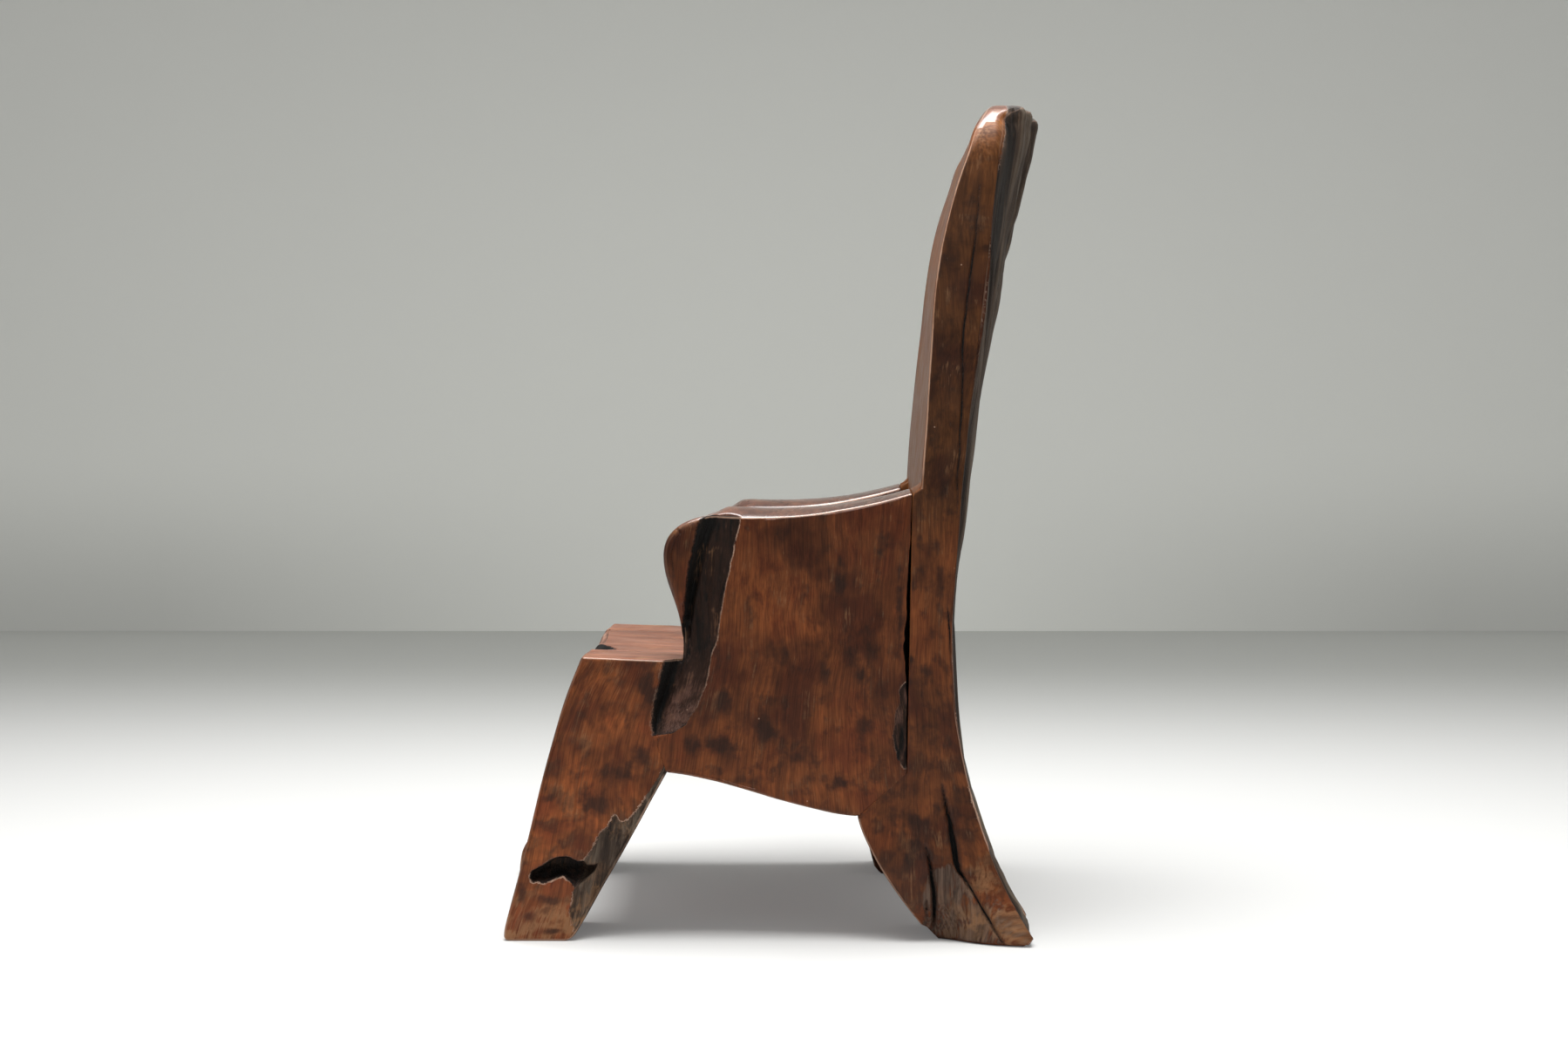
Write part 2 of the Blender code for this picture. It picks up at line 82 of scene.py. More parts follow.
def rearLineY(z):
    # the planed edge of the back: a power curve out to the heel below the waist, a leaning line above it
    waist, waistZ = chair["waist"]
    low = waist + (chair["heel"] - waist) * np.clip(1 - z / waistZ, 0, 1) ** 2.4
    return np.where(z < waistZ, low, waist + chair["backLean"] * (np.hypot(z - waistZ, 0.1) - 0.1))


def grainFlow(y, z):
    # Place across the grain: the fibres follow the splay of the legs and the lean of the back, so the share
    # of the way from the front line to the rear line is carried to where these lines are at seat height.
    front, rear = frontLineY(z, chair["leftToe"]), rearLineY(z)
    home = rearLineY(np.array([chair["seatHeight"]]))[0]
    return chair["seatFront"] + (y - front) / (rear - front) * (home - chair["seatFront"])


def backGrain(y, z):
    # Place across the grain of the back: upright near its front, swept out to the heel with the rear line,
    # by the square of the share of the way there.
    rear = rearLineY(z)
    return y - (rear - rearLineY(np.array([0.25]))[0]) * np.clip((y - 0.2) / (rear - 0.2), 0, 1) ** 2


def lattice(cell, seed):
    # one fixed number from 0 to 1 for each whole-number cell
    c = cell.astype(np.uint64)
    n = c[:, 0] * np.uint64(73856093) ^ c[:, 1] * np.uint64(19349663) ^ c[:, 2] * np.uint64(83492791)
    n = (n ^ np.uint64(seed * 7919 + 101)) & np.uint64(0xFFFFFFFF)
    for shift, factor in ((16, 2246822519), (13, 3266489917), (16, 668265263)):
        n = ((n ^ (n >> np.uint64(shift))) * np.uint64(factor)) & np.uint64(0xFFFFFFFF)
    return (n >> np.uint64(8)).astype(float) / 0xFFFFFF


def cloud(p, size, seed, octaves=1):
    # value noise from -1 to 1 with cells of that size in metres, each octave half as large and half as strong
    total, weight, reach = np.zeros(len(p)), 1.0, 0.0
    for octave in range(octaves):
        q = p / (np.asarray(size, float) / 2 ** octave) + 91.7 + 17.3 * octave
        cell = np.floor(q)
        f = q - cell
        f = f * f * (3 - 2 * f)
        value = np.zeros(len(p))
        for corner in range(8):
            step = np.array([corner & 1, corner >> 1 & 1, corner >> 2])
            value += np.prod(np.where(step, f, 1 - f), axis=1) * lattice(cell + step, seed + octave)
        total += weight * (2 * value - 1)
        reach += weight
        weight *= 0.5
    return total / reach


def lineField(a, b, line):
    # distance from a broken line, the share of its length at the nearest place, and that place
    line = np.asarray(line, float)
    best, share = np.full(a.shape, 9.0), np.zeros(a.shape)
    nearA, nearB = np.zeros(a.shape), np.zeros(a.shape)
    lengths, gone = np.hypot(*np.diff(line, axis=0).T), 0.0
    for start, end, length in zip(line[:-1], line[1:], lengths):
        da, db = end - start
        t = np.clip(((a - start[0]) * da + (b - start[1]) * db) / length ** 2, 0, 1)
        d = np.hypot(a - start[0] - t * da, b - start[1] - t * db)
        closer = d < best
        share = np.where(closer, gone + t * length, share)
        nearA, nearB = np.where(closer, start[0] + t * da, nearA), np.where(closer, start[1] + t * db, nearB)
        best = np.where(closer, d, best)
        gone += length
    return best, share / gone, nearA, nearB


def regionField(a, b, outline):
    # distance from a closed outline, positive inside
    distance = lineField(a, b, outline)[0]
    inside = np.zeros(a.shape, bool)
    for (a0, b0), (a1, b1) in zip(outline[:-1], outline[1:]):
        inside ^= ((b0 > b) != (b1 > b)) & (a < (a1 - a0) * (b - b0) / (b1 - b0 + 1e-12) + a0)
    return np.where(inside, distance, -distance)


def ragged(line, step, jitter, size, seed):
    # a line with a point every step, each thrown aside by noise of that size
    line = np.asarray(line, float)
    length = np.hypot(*np.diff(line, axis=0).T).sum()
    points = evenly(int(length / step) + 2, line)
    place = np.c_[points, points[:, :1] * 0]
    aside = np.stack([cloud(place, size, seed, 3), cloud(place, size, seed + 50, 3)], axis=1) * jitter
    aside[[0, -1]] = 0
    return points + aside


def snap(part, line, reach):
    # moves the points of the near face that lie close to a line onto it, so that an edge there is clean
    a, b = part["a"], part["b"]
    away, _, nearA, nearB = lineField(a, b, line)
    close = (away < reach) & (part["side"] < 0) & (part["share"] == 0) & (part["edge"] > 0.006)
    part["a"], part["b"] = np.where(close, nearA, a), np.where(close, nearB, b)


def blobs(a, b, marks):
    # the strongest of several soft ovals, each (a, b, half width, half height, strength)
    total = np.zeros(a.shape)
    for ca, cb, ra, rb, strength in marks:
        total = np.maximum(total, strength * np.exp(-(((a - ca) / ra) ** 2 + ((b - cb) / rb) ** 2)))
    return total


def curve(p0, p1, p2, p3, count=40):
    # one cubic curve from p0 to p3
    t = np.linspace(0, 1, count)[:, None]
    p0, p1, p2, p3 = (np.asarray(p, float) for p in (p0, p1, p2, p3))
    return (1 - t) ** 3 * p0 + 3 * t * (1 - t) ** 2 * p1 + 3 * t * t * (1 - t) * p2 + t ** 3 * p3


def evenly(count, *runs, weight=None):
    # runs of points joined into one line, then spaced evenly along it, or closer where the weight is greater
    line = np.vstack([np.asarray(r, float) for r in runs])
    if weight:
        line = evenly(600, line)
    lengths = np.hypot(*np.diff(line, axis=0).T)
    if weight:
        lengths = lengths * weight(*(0.5 * (line[1:] + line[:-1])).T)
    gone = np.concatenate([[0], np.cumsum(lengths)])
    keep = np.concatenate([[True], np.diff(gone) > 1e-9])
    way = np.linspace(0, gone[-1], count)
    return np.stack([np.interp(way, gone[keep], line[keep, k]) for k in (0, 1)], axis=1)


def normalsOf(verts, quads):
    # each quad's cross product of diagonals, summed at its corners
    p = verts[quads]
    n = np.cross(p[:, 2] - p[:, 0], p[:, 3] - p[:, 1])
    flat = quads.ravel()
    total = np.stack([np.bincount(flat, np.repeat(n[:, k], 4), len(verts)) for k in range(3)], axis=1)
    return total / np.maximum(np.linalg.norm(total, axis=1, keepdims=True), 1e-12)


def patch(inset, nu, nv):
    # Coons patch inside a closed line: the two ruled surfaces between opposite sides less the bilinear one
    r0, t0, l0 = nu - 1, nu + nv - 2, 2 * nu + nv - 3
    b, r, t = inset[:r0 + 1], inset[r0:t0 + 1], inset[t0:l0 + 1][::-1]
    l = np.vstack([inset[l0:], inset[:1]])[::-1]
    u, v = np.linspace(0, 1, nu)[None, :, None], np.linspace(0, 1, nv)[:, None, None]
    grid = (1 - v) * b[None] + v * t[None] + (1 - u) * l[:, None] + u * r[:, None]
    grid -= (1 - u) * (1 - v) * b[0] + u * (1 - v) * b[-1] + (1 - u) * v * t[0] + u * v * t[-1]
    return grid.reshape(-1, 2)


def slab(sides, rounding, thick, place, arcs=4, middle=20, flip=False, footRound=0):
    # A timber between two faces. Each face fills its outline, drawn in by the edge radius. Between them the
    # outline is carried across the thickness on a quarter circle, a straight run and a quarter circle.
    bottom, right, top, left = sides
    nu, nv = len(bottom), len(left)
    ring = np.vstack([bottom[:-1], right[:-1], top[:0:-1], left[:0:-1]])
    ringSide = np.repeat(np.arange(4), (nu - 1, nv - 1, nu - 1, nv - 1))
    for turn in range(3 + footRound):  # takes the sharpness off the outline's corners, more at the feet
        eased = 0.5 * ring + 0.25 * (np.roll(ring, 1, axis=0) + np.roll(ring, -1, axis=0))
        ring = np.where((turn < 3) | (ring[:, 1:] < 0.03), eased, ring)
    tangent = np.roll(ring, -1, axis=0) - np.roll(ring, 1, axis=0)
    outward = np.stack([tangent[:, 1], -tangent[:, 0]], axis=1)
    outward /= np.linalg.norm(outward, axis=1, keepdims=True)
    near, far = rounding(ring, ringSide)
    index = np.arange(nu * nv).reshape(nv, nu)
    rim = np.concatenate([index[0, :-1], index[:-1, -1], index[-1, :0:-1], index[:0:-1, 0]])
    plane, share, edge = [], [], []
    for radius, at in ((near, 0.0), (far, 1.0)):
        inset = ring - outward * radius[:, None]
        face = patch(inset, nu, nv)
        # distance over the surface from the middle of the rounded edge
        away = lineField(face[:, 0], face[:, 1], np.vstack([inset[::5], inset[:1]]))[0]
        away = away + np.mean(radius) * np.pi / 4
        away[rim] = radius * np.pi / 4
        plane.append(face)
        share.append(np.full(len(face), at))
        edge.append(away)
    depthAll = thick(ring[:, 0], ring[:, 1])
    layers = []
    steps = [k / arcs for k in range(1, arcs + 1)]
    for radius, f in [(near, f) for f in steps] + [(far, -f) for f in reversed(steps)]:
        turn = np.abs(f) * np.pi / 2
        depth = (1 - np.cos(turn)) * radius
        depth = depth if f > 0 else depthAll - depth
        layers.append((radius * (1 - np.sin(turn)), depth, radius * np.pi / 2 * np.abs(np.abs(f) - 0.5)))
    for k in range(1, middle + 1):
        f = k / (middle + 1)
        depth = near + (depthAll - near - far) * f
        away = np.minimum(depth - near, depthAll - far - depth) + 0.5 * (near + far) * np.pi / 4
        layers.insert(arcs + k - 1, (0 * near, depth, away))
    plane += [ring - outward * draw[:, None] for draw, depth, away in layers]
    share += [depth / depthAll for draw, depth, away in layers]
    edge += [away for draw, depth, away in layers]
    cell = np.stack([index[:-1, :-1], index[:-1, 1:], index[1:, 1:], index[1:, :-1]], axis=-1).reshape(-1, 4)
    rows = [rim] + [2 * nu * nv + len(ring) * k + np.arange(len(ring)) for k in range(len(layers))]
    rows.append(rim + nu * nv)
    quads = [cell, cell[:, ::-1] + nu * nv]
    for here, below in zip(rows[:-1], rows[1:]):
        quads.append(np.stack([here, below, np.roll(below, -1), np.roll(here, -1)], axis=1))
    part = {"a": np.vstack(plane)[:, 0], "b": np.vstack(plane)[:, 1], "share": np.concatenate(share)}
    part["edge"] = np.concatenate(edge)
    part["side"] = np.concatenate([np.full(2 * nu * nv, -1)] + [ringSide] * len(layers))
    part["quads"] = np.vstack(quads)[:, ::-1] if flip else np.vstack(quads)
    part["verts"] = place(part)
    part["normals"] = normalsOf(part["verts"], part["quads"])
    return part


def pressIn(moved, chosen, hand, limit):
    # keeps the chosen points of an outer face no further out than the limit
    x = hand * moved[:, 0]
    moved[:, 0] = hand * np.where(chosen, np.minimum(x, limit), x)


# height and size in metres of a scraped face's slow waves and of its short ones
waveSet = {"slow": (0.0013, 0.11), "short": (0.0004, (0.03, 0.03, 0.08))}


def hewnWave(p):
    # slow noise plus short noise, the same through all timbers so that they meet flush
    slow, short = waveSet["slow"], waveSet["short"]
    return slow[0] * cloud(p, slow[1], 1, 2) + short[0] * cloud(p, short[1], 5)


# how much lighter or darker than plain the sides are drawn in these places; the crest's lift is painted
# highlight
toneSet = {"plain": 1.25, "leg": 0.72, "arm": -0.40, "lobe": 0.02, "post": -0.70, "crest": 0.70}


def sideTone(y, z):
    # the plain tone plus each place's own, faded in and out around it
    at = {
        "leg": ease(-0.12, -0.19, y) * ease(0.42, 0.36, z),
        "arm": ease(0.42, 0.57, z) * ease(0.21, 0.18, y),
        "lobe": ease(-0.07, -0.10, y) * ease(0.38, 0.44, z),
        "post": ease(0.19, 0.215, y) * ease(0.52, 0.66, z),
        "crest": ease(1.03, 1.13, z),
    }
    return toneSet["plain"] + sum(toneSet[key] * amount for key, amount in at.items())


# what the wood's material reads at each point, and its value where a piece doesn't give it
fieldNames = (
    "edge", "rub", "natural", "fold", "crack", "warm", "spots", "stain", "weather", "tan", "gold", "polish",
    "tone", "flow",
)
plainFields = {"edge": 0.05, "natural": -0.02, "fold": -0.02, "crack": 0.02, "tone": 1.0}


def pieceFrom(name, part, fields, materials):
    # a mesh object at the origin, with its fields as point attributes; polished faces take the last material
    mesh = bpy.data.meshes.new(name)
    verts, quads = part["verts"], part["quads"]
    mesh.vertices.add(len(verts))
    mesh.vertices.foreach_set("co", verts.astype(np.float32).ravel())
    mesh.loops.add(quads.size)
    mesh.loops.foreach_set("vertex_index", quads.astype(np.int32).ravel())
    mesh.polygons.add(len(quads))
    mesh.polygons.foreach_set("loop_start", np.arange(0, quads.size, 4, dtype=np.int32))
    mesh.polygons.foreach_set("use_smooth", np.ones(len(quads), bool))
    mesh.update(calc_edges=True)
    for key in fieldNames:
        values = np.zeros(len(verts)) + fields.get(key, plainFields.get(key, 0.0))
        mesh.attributes.new(key, "FLOAT", "POINT").data.foreach_set("value", values.astype(np.float32))
    for material in materials:
        mesh.materials.append(material)
    polished = np.mean(fields["polish"][quads], axis=1) > 0.65
    mesh.polygons.foreach_set("material_index", (polished * (len(materials) - 1)).astype(np.int32))
    piece = bpy.data.objects.new(name, mesh)
    scene.collection.objects.link(piece)
    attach(piece, "root")
    print(name, len(quads) * 2, "triangles")
    return piece


def linear(code):
    # sRGB hex to linear colour
    c = np.array([int(code[k:k + 2], 16) for k in (1, 3, 5)]) / 255
    return (*np.where(c <= 0.04045, c / 12.92, ((c + 0.055) / 1.055) ** 2.4), 1.0)


def put(tree, kind, links=None, out=0, **settings):
    # adds a node: settings are its properties, links its inputs, each a socket or a plain value
    node = tree.nodes.new("ShaderNode" + kind)
    for key, value in settings.items():
        setattr(node, key, value)
    for key, value in (links or {}).items():
        if isinstance(value, bpy.types.NodeSocket):
            tree.links.new(value, node.inputs[key])
        else:
            node.inputs[key].default_value = value
    return node.outputs[out] if node.outputs else node


def bareMaterial(name):
    # a material with no nodes yet, and put for its tree
    mat = bpy.data.materials.new(name)
    mat.use_nodes = True
    mat.node_tree.nodes.clear()
    return mat, functools.partial(put, mat.node_tree)


# the wood's colours, its figures, what each signal is summed from, and where each mask begins and ends
hewnSet = {
    "colours": {
        "red": "#562812", "brown": "#583117", "orange": "#7C4420", "gold": "#5C3B1C", "deepRed": "#371509",
        "dark": "#26130B", "worn": "#BE9A84", "tan": "#996F4C", "weathered": "#715B4D", "dryDark": "#271D18",
        "foldDark": "#0B0806", "foldMid": "#2E1C13", "foldLight": "#64463B", "crack": "#050403",
        "bark": "#211914", "barkBrown": "#4A392D", "barkGrey": "#7F7365",
    },
    # size across the grain in metres, and how much longer it is along it
    "figures": {
        "fibre": (0.0016, 30), "streak": (0.0060, 20), "ridge": (0.0100, 70), "strand": (0.0024, 50),
        "cloud": (0.085, 1.3), "patch": (0.040, 1.2), "spot": (0.020, 1.15),
    },
    # how many to a metre, how far the drift throws figures aside, and strength and depth of the relief
    "perMetre": {"drift": 6.0, "grit": 300.0, "ding": 24.0},
    "bent": 0.03, "calm": 0.007, "fineRelief": (0.2, 0.0005), "dullRelief": (0.6, 0.003),
    # a signal, then what is added to it and how much of that
    "sums": {
        "thinWax": ("patch", ("streak", 0.2), ("warm", 0.16)),
        "torn": ("strand", ("fibre", 1.0)),
        "spotty": ("spot", ("torn", 0.26)),
        "patchy": ("patch", ("torn", 0.26)),
        "spotted": ("spotty", ("spots", 0.12)),
        "marked": ("stain", ("spotty", 2.0)),
        "topFigure": ("cloud", ("ridge", 0.7)),
        "drying": ("weather", ("strand", 1.8), ("spot", 1.2)),
        "dryFigure": ("streak", ("strand", 1.4)),
        "foldEdge": ("fold", ("grit", 0.004)),
        "foldFigure": ("patch", ("streak", 0.8), ("warm", 0.5)),
        "foldScuff": ("spot", ("fibre", 0.6), ("warm", 0.45)),
        "naturalEdge": ("natural", ("grit", 0.008)),
        "naturalFigure": ("ridge", ("strand", 0.35), ("warm", 0.20)),
        "silvering": ("ridge", ("strand", 0.5), ("cloud", 0.4), ("warm", 0.20)),
        "scuffed": ("tan", ("patchy", 1.6), ("spotty", 1.6), ("torn", 0.3)),
        "rubbed": ("edge", ("patch", 0.005)),
        "crackEdge": ("crack", ("grit", 0.0018)),
        "relief": ("fibre", ("streak", 1.2)),
    },
    # the signal, where its mask begins and ends, and the mask's value at both
    "masks": {
        "brown": ("cloud", 0.40, 0.60, 0.0, 1.0),
        "orange": ("thinWax", 0.52, 0.84, 0.0, 0.7),
        "deepRed": ("cloud", 0.45, 0.64, 0.0, 0.8),
        "spots": ("spotted", 0.78, 1.00, 0.0, 0.7),
        "blots": ("patchy", 0.74, 1.04, 0.0, 0.4),
        "marks": ("marked", 1.68, 2.46, 0.0, 0.92),
        "topLight": ("topFigure", 0.60, 1.10, 0.0, 1.0),
        "fine": ("fibre", 0.3, 0.7, 0.70, 1.30),
        "long": ("streak", 0.3, 0.7, 0.83, 1.17),
        "dry": ("drying", 1.9, 2.4, 0.0, 0.9),
        "weathered": ("dryFigure", 0.80, 1.60, 0.0, 1.0),
        "inFold": ("foldEdge", -0.0006, 0.0010, 0.0, 1.0),
        "foldMid": ("foldFigure", 0.76, 1.12, 0.0, 1.0),
        "foldLight": ("foldScuff", 0.94, 1.34, 0.0, 1.0),
        "isNatural": ("naturalEdge", -0.001, 0.0015, 0.0, 1.0),
        "barkBrown": ("naturalFigure", 0.44, 0.86, 0.0, 1.0),
        "barkGrey": ("silvering", 0.90, 1.42, 0.0, 0.8),
        "tan": ("scuffed", 2.96, 3.56, 0.0, 0.85),
        "edge": ("rubbed", 0.0027, 0.0046, 0.8, 0.0),
        "broken": ("spot", 0.36, 0.54, 0.0, 1.0),
        "rim": ("rim", 0.0003, 0.0013, 1.0, 0.0),
        "ding": ("ding", 0.016, 0.034, 0.45, 0.0),
        "dirt": ("crackEdge", 0.0, 0.003, 0.4, 0.0),
        "isCrack": ("crackEdge", -0.0005, 0.0004, 1.0, 0.0),
        "rough": ("patch", 0.3, 0.7, 0.40, 0.52),
    },
}


def hewnHardwood(name, along, topDark, topLight, gloss):
    # Dense tropical hardwood, hewn, scraped and waxed for decades: short fine fibres, a cloudy red-brown
    # stain with dark patches, edges rubbed pale and a soft wax gloss. Left natural it is black-brown, dry
    # and furrowed. Cracks, the fold's valley, the hollow and the crevice are painted near black as painted
    # shade, and the tone field lifts some faces as painted highlight and painted light.
    mat, add = bareMaterial(name)
    s = hewnSet
    smooth = {"interpolation_type": "SMOOTHSTEP"}
    times, plus, most = {"operation": "MULTIPLY"}, {"operation": "MULTIPLY_ADD"}, {"operation": "MAXIMUM"}
    tint = {key: linear(code) for key, code in s["colours"].items()}
    field = {key: add("Attribute", attribute_name=key, out="Fac") for key in fieldNames}
    where = add("TexCoord", out="Object")
    x, z = add("SeparateXYZ", {0: where}, out=0), add("SeparateXYZ", {0: where}, out=2)
    laid = add("CombineXYZ", {0: x, 1: field["flow"], 2: z})
    # a slow drift keeps the figures from running in ruled lines
    drift = add("TexNoise", {"Vector": where, "Scale": s["perMetre"]["drift"], "Detail": 1.5}, out=1)
    drift = add("VectorMath", {0: drift, 1: (0.5, 0.5, 0.5)}, operation="SUBTRACT")
    bent, calm = (add("VectorMath", {0: drift, 1: [s[key]] * 3, 2: laid}, **plus) for key in ("bent", "calm"))
    signal = dict(field)
    for key, (size, long) in s["figures"].items():
        scale = tuple(1 / (size * long) if axis == along else 1 / size for axis in "xyz")
        drawn = calm if key in ("ridge", "strand") else bent
        drawn = add("VectorMath", {0: drawn, 1: scale}, **times)
        signal[key] = add("TexNoise", {"Vector": drawn, "Scale": 1.0, "Detail": 4.0, "Roughness": 0.55})
    links = {"Vector": where, "Scale": s["perMetre"]["grit"], "Detail": 3.0, "Roughness": 0.6}
    signal["grit"] = add("Math", {0: add("TexNoise", links), 1: 0.5}, operation="SUBTRACT")
    # small pale dings, a millimetre or two, every few centimetres
    signal["ding"] = add("TexVoronoi", {"Vector": where, "Scale": s["perMetre"]["ding"]})
    for key, (base, *others) in s["sums"].items():
        signal[key] = signal[base]
        for other, weight in others:
            signal[key] = add("Math", {0: signal[other], 1: weight, 2: signal[key]}, **plus)
    rim = add("Math", {0: signal["foldEdge"], 1: signal["naturalEdge"]}, **most)
    signal["rim"] = add("Math", {0: rim}, operation="ABSOLUTE")
    mask = {}
    for key, (source, low, high, start, end) in s["masks"].items():
        mask[key] = add("MapRange", {0: signal[source], 1: low, 2: high, 3: start, 4: end}, **smooth)
    # stain gathered in clouds, in spots and where it has been rubbed in, with little left on polished tops
    bare = add("MapRange", {0: field["polish"], 3: 1.0, 4: 0.15})
    deep = add("Math", {0: mask["deepRed"], 1: bare}, **times)
    dark = add("Math", {0: mask["spots"], 1: mask["blots"]}, **most)
    dark = add("Math", {0: dark, 1: mask["marks"]}, **most)
    dark = add("Math", {0: dark, 1: bare}, **times)
    # tops that hands and clothes have polished
    top = add("MixRGB", {0: mask["topLight"], 1: linear(topDark), 2: linear(topLight)})
    onTop = add("Math", {0: field["polish"], 1: 0.92}, **times)
    # red-brown to brown, orange where the wax is thin, then the stain and the tops
    body = tint["red"]
    for amount, colour in (
        (mask["brown"], tint["brown"]), (mask["orange"], tint["orange"]), (field["gold"], tint["gold"]),
        (deep, tint["deepRed"]), (dark, tint["dark"]), (onTop, top),
    ):
        body = add("MixRGB", {0: amount, 1: body, 2: colour})
    # fibres and streaks over all of it, times the tone field, which also holds painted highlight and painted
    # light
    shade = add("Math", {0: mask["fine"], 1: mask["long"]}, **times)
    shade = add("Math", {0: shade, 1: field["tone"]}, **times)
    body = add("MixRGB", {0: 1.0, 1: body, 2: shade}, blend_type="MULTIPLY")
    # weathered wood: grey dry fibres with dark strands
    grey = add("MixRGB", {0: mask["weathered"], 1: tint["dryDark"], 2: tint["weathered"]})
    # the fold: dark brown on its slope, scuffed at its foot, with painted shade that darkens it towards the
    # valley and makes the valley black
    slope = add("MixRGB", {0: mask["foldMid"], 1: tint["foldDark"], 2: tint["foldMid"]})
    slope = add("MixRGB", {0: mask["foldLight"], 1: slope, 2: tint["foldLight"]})
    # natural surface: black-brown with grey streaks
    old = add("MixRGB", {0: mask["barkBrown"], 1: tint["bark"], 2: tint["barkBrown"]})
    old = add("MixRGB", {0: mask["barkGrey"], 1: old, 2: tint["barkGrey"]})
    # dry tan where feet are scuffed and no stain is left
    clean = add("MapRange", {0: dark, 2: 0.8, 3: 1.0, 4: 0.1})
    scuff = add("Math", {0: mask["tan"], 1: clean}, **times)
    # edges rubbed pale in thin broken lines, and the same pale wood at broken rims
    rim = add("Math", {0: mask["rim"], 1: mask["broken"]}, **times)
    worn = add("Math", {0: mask["edge"], 1: rim}, **most)
    worn = add("Math", {0: worn, 1: field["rub"]}, **times)
    # then dry grey wood, the fold, natural wood, tan scuffs, pale wear and dings; the wood is darker within
    # three millimetres of a crack, and inside cracks it is near black as painted shade
    for amount, colour in (
        (mask["dry"], grey), (mask["inFold"], slope), (mask["isNatural"], old), (scuff, tint["tan"]),
        (worn, tint["worn"]), (mask["ding"], tint["worn"]), (mask["dirt"], tint["dark"]),
        (mask["isCrack"], tint["crack"]),
    ):
        body = add("MixRGB", {0: amount, 1: body, 2: colour})
    # wax gloss, duller in cracks, in the fold and on dry or natural wood
    dull = field["weather"]
    for key in ("isCrack", "isNatural", "inFold"):
        dull = add("Math", {0: dull, 1: mask[key]}, **most)
    rough = add("Math", {0: field["polish"], 1: gloss["tops"], 2: mask["rough"]}, **plus)
    rough = add("Math", {0: dull, 1: gloss["dull"], 2: rough}, **plus)
    # relief of fibres and streaks, deeper on dull wood
    furrow = add("Math", {0: signal["relief"], 1: dull}, **times)
    strong, deep = s["fineRelief"]
    bump = add("Bump", {"Strength": strong, "Distance": deep, "Height": signal["relief"]}, out="Normal")
    strong, deep = s["dullRelief"]
    bump = add("Bump", {"Strength": strong, "Distance": deep, "Height": furrow, "Normal": bump}, out="Normal")
    links = {"Base Color": body, "Roughness": rough, "Normal": bump, "IOR": 1.5}
    links.update({"Specular IOR Level": gloss["level"], "Coat Weight": gloss["coat"], "Coat Roughness": 0.28})
    add("OutputMaterial", {"Surface": add("BsdfPrincipled", links)})
    return mat


# how polished tops and dull places change the roughness, and how strong the gloss and the wax coat are
matt = {"tops": -0.1, "dull": 0.16, "level": 0.24, "coat": 0.0}
shiny = {"tops": -0.2, "dull": 0.16, "level": 0.5, "coat": 0.8}
satin = {"tops": -0.08, "dull": 0.45, "level": 0.45, "coat": 0.0}
sideWood = hewnHardwood("waxed_hardwood", "z", "#4A2815", "#66411F", matt)
polishedWood = hewnHardwood("polished_hardwood", "z", "#3E2218", "#6A4433", shiny)
seatWood = hewnHardwood("sat_on_hardwood", "y", "#62341F", "#8F5B43", satin)
print("materials ready")


# at the photograph's side of the chair, turned a little and looking slightly down
cameraSet = {"away": 3.69, "aside": 0.0204, "height": 0.678, "turn": 1.0, "down": 1.72, "lens": 56.3}


def makeCamera():
    s = cameraSet
    turn, down = np.radians(s["turn"]), np.radians(s["down"])
    data = bpy.data.cameras.new("camera")
    data.lens, data.sensor_width = s["lens"], 36.0
    data.clip_end = 100.0
    camera = bpy.data.objects.new("camera", data)
    camera.location = (
        s["away"] * np.cos(turn) - s["aside"] * np.sin(turn),
        s["away"] * np.sin(turn) + s["aside"] * np.cos(turn),
        s["height"],
    )
    look = Vector((-np.cos(turn) * np.cos(down), -np.sin(turn) * np.cos(down), -np.sin(down)))
    camera.rotation_euler = look.to_track_quat("-Z", "Y").to_euler()
    scene.collection.objects.link(camera)
    scene.camera = camera


makeCamera()

# the trunk's natural fold, which runs through a panel and the leg below it: three lines down it, as (y, z)
foldSet = {
    "left": {
        "front": [(-0.0895, 0.62), (-0.0895, 0.586), (-0.100, 0.545), (-0.106, 0.515), (-0.1127, 0.4545),
                  (-0.120, 0.41), (-0.126, 0.392), (-0.140, 0.389), (-0.146, 0.3624), (-0.152, 0.335),
                  (-0.158, 0.302), (-0.155, 0.2835)],
        "valley": [(-0.074, 0.62), (-0.074, 0.581), (-0.084, 0.553), (-0.0923, 0.524), (-0.102, 0.485),
                   (-0.1095, 0.442), (-0.115, 0.41), (-0.121, 0.390), (-0.134, 0.355), (-0.147, 0.315),
                   (-0.150, 0.2835)],
        "rear": [(-0.034, 0.62), (-0.034, 0.583), (-0.043, 0.540), (-0.0493, 0.5117), (-0.0587, 0.4666),
                 (-0.0657, 0.4174), (-0.0738, 0.393), (-0.082, 0.352), (-0.0923, 0.3276),
                 (-0.1087, 0.2987), (-0.129, 0.2866), (-0.1497, 0.2835)],
        "foot": 0.2835, "deep": 0.028, "shallow": 0.55, "step": 0.004, "groove": 0.0030, "seed": 71,
    },
    "right": {
        "front": [(-0.006, 0.64), (-0.012, 0.52), (-0.024, 0.42), (-0.038, 0.30)],
        "valley": [(0.008, 0.64), (0.002, 0.52), (-0.012, 0.42), (-0.031, 0.30)],
        "rear": [(0.064, 0.64), (0.056, 0.52), (0.040, 0.42), (0.014, 0.34), (-0.016, 0.306),
                 (-0.030, 0.30)],
        "foot": 0.300, "deep": 0.018, "shallow": 0.8, "step": 0.003, "groove": 0.0, "seed": 91,
    },
}


def foldLine(word, key):
    # one of the fold's three lines, ragged
    s = foldSet[word]
    return ragged(s[key], 0.003, {"front": 0.0022, "valley": 0.0010, "rear": 0.0013}[key], 0.014, s["seed"])


